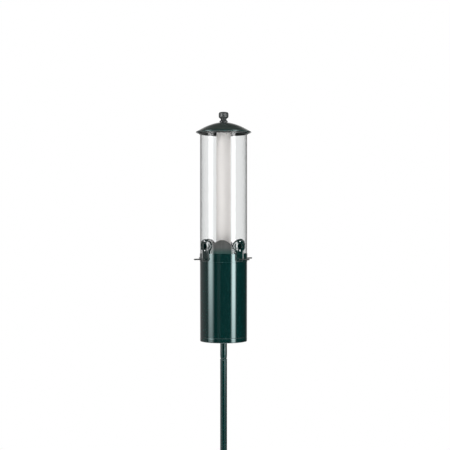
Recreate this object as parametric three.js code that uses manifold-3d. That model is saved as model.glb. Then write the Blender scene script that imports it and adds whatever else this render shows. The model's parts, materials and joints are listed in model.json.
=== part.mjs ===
// Bird feeder on a pole: a clear seed tube with four feeding ports stands on a stovepipe baffle,
// which turns on a plug-together pole with a finned ground spike.
// Millimetres, +Z up, z = 0 at the ground line, pole axis on Z, front towards -Y.
import * as THREE from 'three';
import { mergeVertices } from 'three/addons/utils/BufferGeometryUtils.js';
import Module from 'manifold-3d';

// ---------------------------------------------------------------- driving dimensions
const GAP = 0.3; // between pieces that touch
const DRUM_SIDES = 40;
const PIPE_SIDES = 20;
const ROD_SIDES = 8;
const HOLE_STEPS = 4; // half the sides of a small round hole
const FEED_STEPS = 8; // and of a feed hole

// Pole and ground spike
const POLE_OD = 22;
const POLE_WALL = 1.5;
const POLE_SECTIONS = ['pole_lower', 'pole_upper'];
const POLE_SECTION_RISE = 454; // from the rim of one section to the rim of the next
const PLUG_LENGTH = 60; // swaged end hidden in the section below
const JOINT_NECK = 2.5; // bare neck between a rim and the shoulder above it
const RIM_FLARE = 0.35;
const RIM_HEIGHT = 4;
const SPIKE_DIAMETER = 16;
const SPIKE_LENGTH = 260;
const SPIKE_POINT = 35;
const FIN_SPAN = 56;
const FIN_THICKNESS = 3;
const FIN_TOP = 25; // below ground
const FIN_HEIGHT = 150;
const STEP_LENGTH = 150;
const STEP_WIDTH = 70;
const STEP_THICKNESS = 4;
const STEP_CORNER = 14;

// Mounting tube and flange under the feeder
const STUB_SHOWING = 58; // from the pole's rim to the baffle's lower edge
const FLANGE_THICKNESS = 4;
const FLANGE_RIM = 3; // between flange and baffle
const SLEEVE_WALL = 2.7;
const SLEEVE_HEIGHT = 40;
const CLAMP_BOLT_DIAMETER = 5;
const CLAMP_BOLT_DROP = 25; // below the flange
const FLANGE_SCREW_DIAMETER = 5;
const FLANGE_SCREW_GRIP = 8; // in the casting

// Stovepipe baffle
const BAFFLE_LENGTH = 257.5;
const BAFFLE_WALL = 0.8;
const BAFFLE_TAPER = 0.6; // in radius, towards the lower edge
const BAFFLE_LIP = 18;
const HEM_HEIGHT = 14;
const HEM_DEPTH = 2.4;

// Seed tube, core and collar
const TUBE_OD = 152.4;
const TUBE_WALL = 3;
const TUBE_LENGTH = 408;
const CORE_OD = 47;
const CORE_WALL = 2.5;
const COLLAR_WALL = 0.8;
const COLLAR_HEIGHT = 26.2;

// Base casting
const FLOOR_THICKNESS = 4;
const LEDGE_HEIGHT = 18;
const LEDGE_WIDTH = 14.2;
const RING_WALL = 2;
const SOCKET_WALL = 2.5;
const SOCKET_HEIGHT = 12;
const LOBE_WIDTH = 75;
const LOBE_HEIGHT = 44; // above the collar's rim
const LOBE_ANGLES = [0, 180];
const DRAIN_DIAMETER = 5;
const DRAIN_CIRCLE = 45;
const CONE_RISE = 9;
const CONE_SHEET = 2;

// Feeding ports and perches
const PORT_ANGLES = [-45, 45, 135, 225];
const PORT_WIDTH = 53;
const PORT_WIDEST = 23; // above the collar's rim, as the next two
const PORT_NECK_TOP = 5;
const FEED_CENTRE = 24;
const UPPER_SCREW_SPACE = 7.05; // from the feed sleeve to a screw's centre, as the next
const LOWER_SCREW_SPACE = 3.55;
const PORT_CROWN = 6; // from the upper screw's centre to the top of the plate
const PORT_NECK = 34;
const PORT_CORNER = 6;
const PORT_THICKNESS = 2.9;
const FEED_DIAMETER = 17.5;
const SLEEVE_LIP = 1.2;
const PORT_SCREW_DIAMETER = 3;
const PORT_SCREW_HEAD = 5.2;
const PORT_SCREW_DOME = 1.7;
const HOOD_PLATE = 1.7;
const HOOD_SIDE = 3.75; // plate beside the scoop
const HOOD_END = 4.75; // plate beyond each screw's centre
const SCOOP_WALL = 1.5;
const SCOOP_DEPTH = 13;
const PERCH_DIAMETER = 4.6;
const PERCH_REACH = 47; // beyond the collar
const PERCH_GRIP = 9; // in the casting

// Tie rod, lid and knob
const ROD_DIAMETER = 8;
const NUT_WIDTH = 13;
const NUT_HEIGHT = 6.5;
const CAP_FLANGE = 4;
const CAP_SPIGOT = 15;
const LID_OVERHANG = 13.8; // beyond the seed tube
const LID_RISE = 32;
const LID_SHEET = 1;
const LID_BULGE = 1.8; // power of the roof's curve
const LID_BEAD = 2.2;
const LID_RING_WALL = 2;
const LID_RING_HEIGHT = 13;
const LID_RING_FIT = 0.9;
const LID_LIFT_ROOM = 0.4;
const KNOB_DIAMETER = 32;
const KNOB_HEIGHT = 33;
const KNOB_FLANGE = 27;
const KNOB_SHANK_WALL = 1.3;
const KNOB_SHANK_DROP = 7;
const CLIP_DIAMETER = 18;
const CLIP_THICKNESS = 1.2;

// ---------------------------------------------------------------- sizes that follow
const poleRadius = POLE_OD / 2;
const poleBore = poleRadius - POLE_WALL;
const plugRadius = poleBore - GAP;
const poleFoot = STEP_THICKNESS + GAP;
const rimOf = (section) => poleFoot + POLE_SECTION_RISE * (section + 1);
const poleTop = rimOf(POLE_SECTIONS.length - 1);

const tubeRadius = TUBE_OD / 2;
const tubeBore = tubeRadius - TUBE_WALL;
const collarBore = tubeRadius + GAP;
const collarRadius = collarBore + COLLAR_WALL;
const baffleRadius = collarBore;
const baffleBore = baffleRadius - BAFFLE_WALL;
const coreRadius = CORE_OD / 2;

const baffleBottom = poleTop + STUB_SHOWING;
const baffleTop = baffleBottom + BAFFLE_LENGTH;
const baseBottom = baffleTop + GAP;
const floorTop = baseBottom + FLOOR_THICKNESS;
const ledgeTop = baseBottom + LEDGE_HEIGHT;
const rim = baseBottom + COLLAR_HEIGHT;
const tubeBottom = ledgeTop + GAP;
const tubeTop = tubeBottom + TUBE_LENGTH;
const flangeTop = baffleTop - BAFFLE_WALL - GAP;
const flangeBottom = flangeTop - FLANGE_THICKNESS;
const flangeRadius = baffleBore - FLANGE_RIM;

const ringRadius = tubeBore - GAP;
const ringBore = ringRadius - RING_WALL;
const ledgeBore = tubeRadius - LEDGE_WIDTH;
const screwCircle = baffleRadius - BAFFLE_LIP / 2;
const socketBore = coreRadius + GAP;
const socketTop = floorTop + SOCKET_HEIGHT;

const coneFoot = ringBore - 0.5;
const coneEdge = rim;
const rodRadius = ROD_DIAMETER / 2;
const rodHole = rodRadius + GAP;

const coreBottom = floorTop + GAP;
const capTop = tubeTop - NUT_HEIGHT;
const coreTop = capTop - CAP_FLANGE - GAP;

const lidRadius = tubeRadius + LID_OVERHANG;
const roofDrop = (radius) => LID_RISE * (radius / lidRadius) ** LID_BULGE;
const lidApex = tubeTop + LID_LIFT_ROOM + LID_SHEET + roofDrop(tubeRadius);
const roofTop = (radius) => lidApex - roofDrop(radius);
const lidRingBore = tubeRadius + LID_RING_FIT;
const lidRingRadius = lidRingBore + LID_RING_WALL;
const shankRadius = rodRadius + GAP + KNOB_SHANK_WALL;
const lidHole = shankRadius + GAP;
const knobBase = lidApex + GAP;
const shankBottom = knobBase - KNOB_SHANK_DROP;
const rodTop = knobBase + KNOB_HEIGHT / 2;
const rodBottom = flangeBottom - GAP - NUT_HEIGHT - 4;

const perchHeight = baseBottom + LEDGE_HEIGHT / 2;
const portRadius = collarRadius + PORT_THICKNESS - COLLAR_WALL;
const feedRadius = FEED_DIAMETER / 2;
const feedClear = feedRadius + SLEEVE_LIP + GAP;
const upperScrew = FEED_CENTRE + feedRadius + SLEEVE_LIP + UPPER_SCREW_SPACE;
const lowerScrew = FEED_CENTRE - feedRadius - SLEEVE_LIP - LOWER_SCREW_SPACE;
const portScrews = [['upper', upperScrew], ['lower', lowerScrew]];
const portTop = upperScrew + PORT_CROWN;

// ---------------------------------------------------------------- materials
function finish(colour, roughness, metalness = 0) {
  return new THREE.MeshStandardMaterial({ color: colour, roughness, metalness });
}

const greenEnamel = finish(0x0f332f, 0.25);
const greenCasting = finish(0x3c4541, 0.55);
const greenMoulding = finish(0x14302c, 0.3);
const clearTube = finish(0xf1f5f5, 0.05);
clearTube.transparent = true;
clearTube.opacity = 0.3;
const greyPipe = finish(0xdad6d3, 0.5);
const blackRod = finish(0x0c0e0e, 0.35);
const zincSteel = finish(0xb9bdbf, 0.35, 1);
const brightSteel = finish(0xd8dadb, 0.2, 1);

// ---------------------------------------------------------------- shape helpers
const wasm = await Module();
wasm.setup();

/** A closed manifold solid from a closed geometry. */
function toSolid(geometry) {
  const bare = geometry.clone();
  bare.deleteAttribute('normal');
  bare.deleteAttribute('uv');
  const merged = mergeVertices(bare, 1e-4);
  const corners = merged.index.array;
  const kept = [];
  for (let i = 0; i < corners.length; i += 3) {
    const [a, b, c] = [corners[i], corners[i + 1], corners[i + 2]];
    if (a !== b && b !== c && c !== a) kept.push(a, b, c);
  }
  return new wasm.Manifold(new wasm.Mesh({
    numProp: 3,
    vertProperties: new Float32Array(merged.attributes.position.array),
    triVerts: new Uint32Array(kept),
  }));
}

/** The geometry of a manifold solid. */
function toGeometry(solid) {
  const mesh = solid.getMesh();
  const geometry = new THREE.BufferGeometry();
  geometry.setAttribute('position', new THREE.BufferAttribute(mesh.vertProperties, 3));
  geometry.setIndex(new THREE.BufferAttribute(mesh.triVerts, 1));
  geometry.computeVertexNormals();
  return geometry;
}

/** Cuts a list of cutters from a body. */
function cut(body, cutters) {
  return cutters.reduce((left, cutter) => left.subtract(toSolid(cutter)), body);
}

/** Turns a profile of [radius, z] points about Z; a profile that leaves the axis is closed on itself. */
function turned(profile, sides) {
  const points = profile.map(([radius, z]) => new THREE.Vector2(radius, z));
  const onAxis = points[0].x === 0 && points[points.length - 1].x === 0;
  if (!onAxis) points.push(points[0].clone());
  const area = THREE.ShapeUtils.area(points);
  if (area < 0) points.reverse();
  const geometry = new THREE.LatheGeometry(points, sides);
  geometry.rotateX(Math.PI / 2);
  return geometry;
}

/** A shape drawn as seen from the front, (x, z), made solid between two distances from the axis. */
function facing(shape, near, far, curveSegments = 8) {
  const geometry = new THREE.ExtrudeGeometry(shape, { depth: far - near, bevelEnabled: false, curveSegments });
  geometry.translate(0, 0, near);
  geometry.rotateX(Math.PI / 2);
  return geometry;
}

/** A flat shape drawn from above, (x, y), made solid between two heights. */
function lying(shape, low, high, curveSegments = 5) {
  const geometry = new THREE.ExtrudeGeometry(shape, { depth: high - low, bevelEnabled: false, curveSegments });
  geometry.translate(0, 0, low);
  return geometry;
}

function ellipse(x, y, halfWidth, halfHeight) {
  const shape = new THREE.Shape();
  shape.absellipse(x, y, halfWidth, halfHeight, 0, 2 * Math.PI);
  return shape;
}

function rectangle(left, bottom, right, top) {
  const shape = new THREE.Shape();
  shape.moveTo(left, bottom);
  shape.lineTo(right, bottom);
  shape.lineTo(right, top);
  shape.lineTo(left, top);
  return shape;
}

/** A round rod along Z between two heights. */
function rod(radius, low, high, sides = ROD_SIDES) {
  return turned([[0, low], [radius, low], [radius, high], [0, high]], sides);
}

/** A round hole straight out from the axis towards the front. */
function radialHole(radius, height, near, far, steps = HOLE_STEPS) {
  return facing(ellipse(0, height, radius, radius), near, far, steps);
}

/** A screw along Z with its seat at 0, its domed head above and its shank below. */
function screw(shankDiameter, length, headDiameter, headHeight) {
  const shank = shankDiameter / 2;
  const head = headDiameter / 2;
  return turned([
    [0, -length], [shank, -length], [shank, 0], [head, 0], [head, headHeight * 0.5], [0, headHeight],
  ], ROD_SIDES);
}

/** A hexagon nut along Z from 0 up. */
function nut(width, height, hole) {
  const shape = new THREE.Shape();
  for (let corner = 0; corner < 6; corner += 1) {
    const angle = (corner * Math.PI) / 3;
    const radius = width / Math.sqrt(3);
    const place = [radius * Math.cos(angle), radius * Math.sin(angle)];
    if (corner === 0) shape.moveTo(...place);
    else shape.lineTo(...place);
  }
  const bore = new THREE.Path();
  bore.absarc(0, 0, hole, 0, 2 * Math.PI, true);
  shape.holes.push(bore);
  return lying(shape, 0, height);
}

const feeder = new THREE.Group();

/** Adds a named piece; angle turns it about Z from the front. */
function add(name, geometry, material, angle = 0, place = [0, 0, 0]) {
  const mesh = new THREE.Mesh(geometry, material);
  mesh.name = name;
  mesh.rotation.z = THREE.MathUtils.degToRad(angle);
  mesh.position.set(...place);
  feeder.add(mesh);
}

/** A cutter, turned about Z to each angle in a list. */
function around(geometry, angles) {
  return angles.map((angle) => geometry.clone().rotateZ(THREE.MathUtils.degToRad(angle)));
}

const QUARTERS = [0, 90, 180, 270];

// ---------------------------------------------------------------- ground spike and pole
function groundSpike() {
  const radius = SPIKE_DIAMETER / 2;
  const core = turned([
    [0, -SPIKE_LENGTH], [radius, SPIKE_POINT - SPIKE_LENGTH], [radius, poleFoot], [plugRadius, poleFoot],
    [plugRadius, poleFoot + PLUG_LENGTH - 1.5], [plugRadius - 1, poleFoot + PLUG_LENGTH],
    [0, poleFoot + PLUG_LENGTH],
  ], PIPE_SIDES);
  const half = FIN_SPAN / 2;
  const fin = new THREE.Shape();
  fin.moveTo(-half, -FIN_TOP - half);
  fin.lineTo(-half, -FIN_TOP - FIN_HEIGHT / 2);
  fin.lineTo(-radius * 0.6, -FIN_TOP - FIN_HEIGHT);
  fin.lineTo(radius * 0.6, -FIN_TOP - FIN_HEIGHT);
  fin.lineTo(half, -FIN_TOP - FIN_HEIGHT / 2);
  fin.lineTo(half, -FIN_TOP - half);
  fin.lineTo(radius * 0.6, -FIN_TOP);
  fin.lineTo(-radius * 0.6, -FIN_TOP);
  const blade = facing(fin, -FIN_THICKNESS / 2, FIN_THICKNESS / 2);
  const solid = toSolid(core).add(toSolid(blade)).add(toSolid(blade.clone().rotateZ(Math.PI / 2)));
  add('ground_spike', toGeometry(solid), zincSteel);
}

function stepPlate() {
  const [x, y, corner] = [STEP_LENGTH / 2, STEP_WIDTH / 2, STEP_CORNER];
  const plate = new THREE.Shape();
  plate.moveTo(-x + corner, -y);
  plate.lineTo(x - corner, -y);
  plate.absarc(x - corner, -y + corner, corner, -Math.PI / 2, 0);
  plate.absarc(x - corner, y - corner, corner, 0, Math.PI / 2);
  plate.absarc(-x + corner, y - corner, corner, Math.PI / 2, Math.PI);
  plate.absarc(-x + corner, -y + corner, corner, Math.PI, 1.5 * Math.PI);
  const hole = new THREE.Path();
  hole.absarc(0, 0, SPIKE_DIAMETER / 2 + GAP, 0, 2 * Math.PI, true);
  plate.holes.push(hole);
  add('step_plate', lying(plate, 0, STEP_THICKNESS, 10), greenEnamel);
}

/** One pole section: swaged plug below its shoulder, plain pipe, flared rim on top. */
function poleSection(name, section) {
  const top = rimOf(section);
  const rimLow = top - RIM_HEIGHT;
  const pipe = [[poleRadius, rimLow], [poleRadius + RIM_FLARE, top], [poleBore, top]];
  if (section === 0) {
    add(name, turned([[poleRadius, poleFoot], ...pipe, [poleBore, poleFoot]], PIPE_SIDES), greenEnamel);
    return;
  }
  const below = rimOf(section - 1);
  add(name, turned(pluggedPipe(below, pipe), PIPE_SIDES), greenEnamel);
}

/** The profile of a pipe that plugs into a rim below: outside up from the plug, then down the bore. */
function pluggedPipe(below, upperEnd) {
  const shoulder = below + JOINT_NECK;
  const plugBottom = below - PLUG_LENGTH;
  const plugBore = plugRadius - POLE_WALL;
  return [
    [plugBore, plugBottom], [plugRadius - 0.5, plugBottom], [plugRadius, plugBottom + 2],
    [plugRadius, shoulder - 1], [poleRadius, shoulder + 1], ...upperEnd,
    [poleBore, shoulder + 3], [plugBore, shoulder - 1],
  ];
}

// ---------------------------------------------------------------- mounting tube and flange
function mounting() {
  const top = flangeBottom - GAP;
  const bolt = CLAMP_BOLT_DIAMETER / 2;
  const boltHeight = flangeBottom - CLAMP_BOLT_DROP;
  const boltHole = around(radialHole(bolt + GAP, boltHeight, -CORE_OD, CORE_OD), [90]);
  const tube = turned(pluggedPipe(poleTop, [[poleRadius, top], [poleBore, top]]), PIPE_SIDES);
  add('mounting_tube', toGeometry(cut(toSolid(tube), boltHole)), greenEnamel);

  const sleeveBore = poleRadius + GAP;
  const sleeve = sleeveBore + SLEEVE_WALL;
  const flange = turned([
    [rodHole, flangeTop], [rodHole, flangeBottom], [sleeveBore, flangeBottom],
    [sleeveBore, flangeBottom - SLEEVE_HEIGHT], [sleeve, flangeBottom - SLEEVE_HEIGHT],
    [sleeve, flangeBottom], [flangeRadius, flangeBottom], [flangeRadius, flangeTop],
  ], DRUM_SIDES);
  const screwHole = rod(FLANGE_SCREW_DIAMETER / 2 + GAP, flangeBottom - 1, flangeTop + 1)
    .translate(0, -screwCircle, 0);
  const holes = [...around(screwHole, QUARTERS), ...boltHole];
  add('mounting_flange', toGeometry(cut(toSolid(flange), holes)), zincSteel);

  const seat = sleeve + GAP;
  const nutHeight = CLAMP_BOLT_DIAMETER * 0.8;
  const boltGeometry = screw(CLAMP_BOLT_DIAMETER, 2 * seat + nutHeight + 2, CLAMP_BOLT_DIAMETER * 1.8, 3.2);
  boltGeometry.rotateY(Math.PI / 2);
  add('clamp_bolt', boltGeometry, zincSteel, 0, [seat, 0, boltHeight]);
  const nutGeometry = nut(CLAMP_BOLT_DIAMETER * 1.6, nutHeight, bolt + GAP);
  nutGeometry.rotateY(-Math.PI / 2);
  add('clamp_nut', nutGeometry, zincSteel, 0, [-seat, 0, boltHeight]);

  const screwLength = baseBottom + FLANGE_SCREW_GRIP - GAP - flangeBottom;
  QUARTERS.forEach((angle, index) => {
    const screwGeometry = screw(FLANGE_SCREW_DIAMETER, screwLength, FLANGE_SCREW_DIAMETER * 1.8, 3);
    screwGeometry.rotateX(Math.PI);
    screwGeometry.translate(0, -screwCircle, flangeBottom - GAP);
    add(`flange_screw_${index + 1}`, screwGeometry, zincSteel, angle);
  });
}

// ---------------------------------------------------------------- baffle, collar and base casting
function baffle() {
  const foot = baffleRadius - BAFFLE_TAPER;
  const inner = foot - HEM_DEPTH;
  const shell = turned([
    [baffleRadius, baffleTop], [baffleRadius - BAFFLE_LIP, baffleTop],
    [baffleRadius - BAFFLE_LIP, baffleTop - BAFFLE_WALL], [baffleBore, baffleTop - BAFFLE_WALL],
    [foot - BAFFLE_WALL, baffleBottom + HEM_HEIGHT + 1], [inner, baffleBottom + HEM_HEIGHT],
    [inner, baffleBottom + 1], [inner + 0.6, baffleBottom], [foot - 1, baffleBottom],
    [foot - 0.25, baffleBottom + 0.8], [foot, baffleBottom + 2.5],
  ], DRUM_SIDES);
  const screwHole = rod(FLANGE_SCREW_DIAMETER / 2 + GAP, flangeTop, baseBottom).translate(0, -screwCircle, 0);
  add('baffle', toGeometry(cut(toSolid(shell), around(screwHole, QUARTERS))), greenEnamel);
}

function collar() {
  const ring = turned([
    [collarBore, baseBottom], [collarRadius, baseBottom], [collarRadius, rim], [collarBore, rim],
  ], DRUM_SIDES);
  const hole = radialHole(PERCH_DIAMETER / 2 + GAP, perchHeight, tubeBore, collarRadius + 2);
  add('collar', toGeometry(cut(toSolid(ring), around(hole, PORT_ANGLES))), greenEnamel);
}

/** The floor with its ledge for the seed tube, the ring inside the tube and its two lobes. */
function baseCasting() {
  const ringTop = rim - 1;
  const body = turned([
    [rodHole, baseBottom], [tubeRadius, baseBottom], [tubeRadius, ledgeTop], [ringRadius, ledgeTop],
    [ringRadius, ringTop], [ringBore, ringTop], [ringBore, ledgeTop], [ledgeBore, ledgeTop],
    [ledgeBore, floorTop], [socketBore + SOCKET_WALL, floorTop], [socketBore + SOCKET_WALL, socketTop],
    [socketBore, socketTop], [socketBore, floorTop], [rodHole, floorTop],
  ], DRUM_SIDES);
  const lobeTop = rim + LOBE_HEIGHT;
  const shell = toSolid(turned([
    [ringBore, ledgeTop], [ringRadius, ledgeTop], [ringRadius, lobeTop + 1], [ringBore, lobeTop + 1],
  ], DRUM_SIDES));
  const arch = new THREE.Shape();
  arch.moveTo(-LOBE_WIDTH / 2, ringTop - 4);
  arch.lineTo(LOBE_WIDTH / 2, ringTop - 4);
  arch.absellipse(0, rim, LOBE_WIDTH / 2, LOBE_HEIGHT, 0, Math.PI);
  const lobes = around(facing(arch, ledgeBore, tubeRadius + 5), LOBE_ANGLES)
    .map((lobe) => shell.intersect(toSolid(lobe)));
  const solid = lobes.reduce((left, lobe) => left.add(lobe), toSolid(body));
  const perchHole = radialHole(PERCH_DIAMETER / 2 + GAP, perchHeight, tubeRadius - PERCH_GRIP, tubeRadius + 5);
  const screwHole = rod(FLANGE_SCREW_DIAMETER / 2 + GAP, baseBottom - 1, baseBottom + FLANGE_SCREW_GRIP)
    .translate(0, -screwCircle, 0);
  const drain = rod(DRAIN_DIAMETER / 2, baseBottom - 1, floorTop + 1).translate(0, -DRAIN_CIRCLE, 0);
  const cutters = [
    ...around(perchHole, PORT_ANGLES), ...around(screwHole, QUARTERS), ...around(drain, QUARTERS),
  ];
  add('base_casting', toGeometry(cut(solid, cutters)), greenCasting);
}

function seedCone() {
  const nose = socketBore;
  add('seed_cone', turned([
    [coneFoot, ledgeTop + GAP], [coneFoot, coneEdge], [nose, coneEdge + CONE_RISE],
    [nose, coneEdge + CONE_RISE - CONE_SHEET], [coneFoot - CONE_SHEET, coneEdge - CONE_SHEET],
    [coneFoot - CONE_SHEET, ledgeTop + GAP],
  ], DRUM_SIDES), greenMoulding);
}

// ---------------------------------------------------------------- seed tube and core
function seedTube() {
  const wall = turned([
    [tubeBore, tubeBottom], [tubeRadius, tubeBottom], [tubeRadius, tubeTop], [tubeBore, tubeTop],
  ], DRUM_SIDES);
  const cutters = [radialHole(feedClear, rim + FEED_CENTRE, coreRadius, collarRadius + 5, FEED_STEPS)];
  portScrews.forEach(([, height]) => {
    const screwRadius = PORT_SCREW_DIAMETER / 2 + GAP;
    cutters.push(radialHole(screwRadius, rim + height, coreRadius, collarRadius + 5));
  });
  const holes = cutters.flatMap((cutter) => around(cutter, PORT_ANGLES));
  add('seed_tube', toGeometry(cut(toSolid(wall), holes)), clearTube);
}

function core() {
  add('core_tube', turned([
    [coreRadius - CORE_WALL, coreBottom], [coreRadius, coreBottom], [coreRadius, coreTop],
    [coreRadius - CORE_WALL, coreTop],
  ], PIPE_SIDES), greyPipe);
  const spigot = coreRadius - CORE_WALL - GAP;
  add('core_cap', turned([
    [rodHole, coreTop + GAP - CAP_SPIGOT], [spigot, coreTop + GAP - CAP_SPIGOT], [spigot, coreTop + GAP],
    [coreRadius, coreTop + GAP], [coreRadius, capTop], [rodHole, capTop],
  ], PIPE_SIDES), greyPipe);
  add('tie_rod', rod(rodRadius, rodBottom, rodTop), zincSteel);
  add('tie_nut_upper', nut(NUT_WIDTH, NUT_HEIGHT, rodHole), zincSteel, 0, [0, 0, capTop + GAP]);
  add('tie_nut_lower', nut(NUT_WIDTH, NUT_HEIGHT, rodHole), zincSteel, 0,
    [0, 0, flangeBottom - GAP - NUT_HEIGHT]);
}

// ---------------------------------------------------------------- feeding ports
function portOutline() {
  const low = baseBottom + 2;
  const neck = PORT_NECK / 2;
  const half = PORT_WIDTH / 2;
  const widest = rim + PORT_WIDEST;
  const neckTop = rim + PORT_NECK_TOP;
  const swell = (widest - neckTop) * 0.45;
  const outline = new THREE.Shape();
  outline.moveTo(-neck + PORT_CORNER, low);
  outline.lineTo(neck - PORT_CORNER, low);
  outline.absarc(neck - PORT_CORNER, low + PORT_CORNER, PORT_CORNER, -Math.PI / 2, 0);
  outline.lineTo(neck, neckTop);
  outline.bezierCurveTo(neck, neckTop + swell, half, widest - swell, half, widest);
  outline.absellipse(0, widest, half, portTop - PORT_WIDEST, 0, Math.PI);
  outline.bezierCurveTo(-half, widest - swell, -neck, neckTop + swell, -neck, neckTop);
  outline.lineTo(-neck, low + PORT_CORNER);
  outline.absarc(-neck + PORT_CORNER, low + PORT_CORNER, PORT_CORNER, Math.PI, 1.5 * Math.PI);
  return outline;
}

/** The port plate hugs the seed tube, steps over the collar and lines the feed hole with a short sleeve. */
function portSolid() {
  const step = rim + GAP;
  const top = rim + portTop + 5;
  const shell = toSolid(turned([
    [collarRadius + GAP, baseBottom], [portRadius, baseBottom], [portRadius, top], [collarBore, top],
    [collarBore, step], [collarRadius + GAP, step],
  ], DRUM_SIDES));
  const plate = shell.intersect(toSolid(facing(portOutline(), tubeBore, portRadius + 5)));
  const centre = rim + FEED_CENTRE;
  const sleeveEnd = tubeBore + 0.6;
  const joined = plate.add(toSolid(
    radialHole(feedRadius + SLEEVE_LIP, centre, sleeveEnd, portRadius - 1.5, FEED_STEPS)));
  const perch = radialHole(PERCH_DIAMETER / 2 + GAP, perchHeight, tubeBore, portRadius + 5);
  const screws = portScrews.map(([, height]) => (
    radialHole(PORT_SCREW_DIAMETER / 2 + GAP, rim + height, tubeBore, portRadius + 5)));
  const feedHole = radialHole(feedRadius, centre, coreRadius, portRadius + 5, FEED_STEPS);
  return cut(joined, [feedHole, perch, ...screws]);
}

/** The hood inside the tube: a plate with a scoop that is open below and towards the feed hole. */
function hoodSolid() {
  const plateBore = ringRadius - HOOD_PLATE;
  const half = feedClear + SCOOP_WALL;
  const middle = rim + (upperScrew + lowerScrew) / 2;
  const halfHeight = (upperScrew - lowerScrew) / 2 + HOOD_END;
  const shell = toSolid(turned([
    [plateBore, baseBottom], [ringRadius, baseBottom], [ringRadius, tubeTop], [plateBore, tubeTop],
  ], DRUM_SIDES));
  const plate = shell.intersect(toSolid(
    facing(ellipse(0, middle, half + HOOD_SIDE, halfHeight), coreRadius, tubeRadius)));
  const centre = rim + FEED_CENTRE;
  const scoopBack = tubeBore - SCOOP_DEPTH;
  const low = centre - feedClear;
  const high = centre + half;
  const scoop = toSolid(facing(rectangle(-half, low, half, high), scoopBack, plateBore + 0.5));
  const hollow = facing(
    rectangle(-feedClear, low - 0.01, feedClear, centre + feedClear), scoopBack + SCOOP_WALL, tubeRadius);
  const screws = portScrews.map(([, height]) => (
    radialHole(PORT_SCREW_DIAMETER / 2 + GAP, rim + height, plateBore - 1, tubeRadius)));
  return cut(plate.add(scoop), [hollow, ...screws]);
}

function ports() {
  const port = toGeometry(portSolid());
  const hood = toGeometry(hoodSolid());
  const screwEnd = ringRadius - HOOD_PLATE - 1;
  const screwGeometry = screw(
    PORT_SCREW_DIAMETER, portRadius + GAP - screwEnd, PORT_SCREW_HEAD, PORT_SCREW_DOME);
  screwGeometry.rotateX(Math.PI / 2);
  const perchRadius = PERCH_DIAMETER / 2;
  const inner = tubeRadius - PERCH_GRIP + GAP;
  const tip = collarRadius + PERCH_REACH;
  const perch = turned([
    [0, inner], [perchRadius, inner], [perchRadius, tip - perchRadius],
    [perchRadius * 0.87, tip - perchRadius * 0.5], [perchRadius * 0.5, tip - perchRadius * 0.13], [0, tip],
  ], ROD_SIDES);
  perch.rotateX(Math.PI / 2);
  PORT_ANGLES.forEach((angle, index) => {
    const number = index + 1;
    add(`port_${number}`, port, greenMoulding, angle);
    add(`port_hood_${number}`, hood, greenMoulding, angle);
    add(`perch_${number}`, perch, blackRod, angle, [0, 0, perchHeight]);
    portScrews.forEach(([name, height]) => {
      const outward = THREE.MathUtils.degToRad(angle);
      const reach = portRadius + GAP;
      const place = [reach * Math.sin(outward), -reach * Math.cos(outward), rim + height];
      add(`port_screw_${name}_${number}`, screwGeometry, brightSteel, angle, place);
    });
  });
}

// ---------------------------------------------------------------- lid and knob
function lid() {
  const stations = [
    lidHole, tubeRadius * 0.4, tubeRadius * 0.7, tubeRadius, lidRingRadius, lidRadius - LID_BEAD,
  ];
  const roof = stations.map((radius) => [radius, roofTop(radius)]);
  const under = roof.map(([radius, z]) => [radius, z - LID_SHEET]).reverse();
  const edge = roofTop(lidRadius);
  const bead = LID_BEAD;
  add('lid', turned([
    ...roof, [lidRadius - bead * 0.3, edge - bead * 0.2], [lidRadius, edge - bead], [lidRadius, edge - 2 * bead],
    [lidRadius - bead * 0.3, edge - bead * 2.6], [lidRadius - bead, edge - bead * 2.6],
    [lidRadius - bead, edge - bead], ...under.slice(1),
  ], DRUM_SIDES), greenEnamel);

  const ringHigh = roofTop(lidRingRadius) - LID_SHEET - GAP;
  add('lid_ring', turned([
    [lidRingBore, ringHigh - LID_RING_HEIGHT], [lidRingRadius, ringHigh - LID_RING_HEIGHT],
    [lidRingRadius, ringHigh], [lidRingBore, ringHigh],
  ], DRUM_SIDES), blackRod);

  const grip = KNOB_DIAMETER / 2;
  const flange = KNOB_FLANGE / 2;
  const top = knobBase + KNOB_HEIGHT;
  const bore = rodRadius + GAP;
  const boreTop = rodTop + 2;
  add('lid_knob', turned([
    [0, boreTop], [bore, boreTop], [bore, shankBottom], [shankRadius, shankBottom], [shankRadius, knobBase],
    [flange, knobBase], [flange, knobBase + 3], [flange * 0.7, knobBase + 6], [flange * 0.66, knobBase + 10],
    [grip * 0.9, top - 19], [grip, top - 15], [grip, top - 7], [grip * 0.88, top - 3], [grip * 0.6, top - 0.7],
    [0, top],
  ], PIPE_SIDES), blackRod);

  const clipTop = lidApex - LID_SHEET - GAP - roofDrop(CLIP_DIAMETER / 2);
  add('knob_clip', turned([
    [shankRadius + GAP, clipTop - CLIP_THICKNESS], [CLIP_DIAMETER / 2, clipTop - CLIP_THICKNESS],
    [CLIP_DIAMETER / 2, clipTop], [shankRadius + GAP, clipTop],
  ], PIPE_SIDES), brightSteel);
}

groundSpike();
stepPlate();
POLE_SECTIONS.forEach(poleSection);
mounting();
baffle();
collar();
baseCasting();
seedCone();
seedTube();
core();
ports();
lid();

export default feeder;
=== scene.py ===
"""Looks of a pole-mounted bird feeder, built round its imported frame.

Metres, +Z up, front towards -Y. Every piece is a surface worked out from a few sizes and from the
boxes of the frame's nodes, and every finish is a procedural material.
"""

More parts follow.
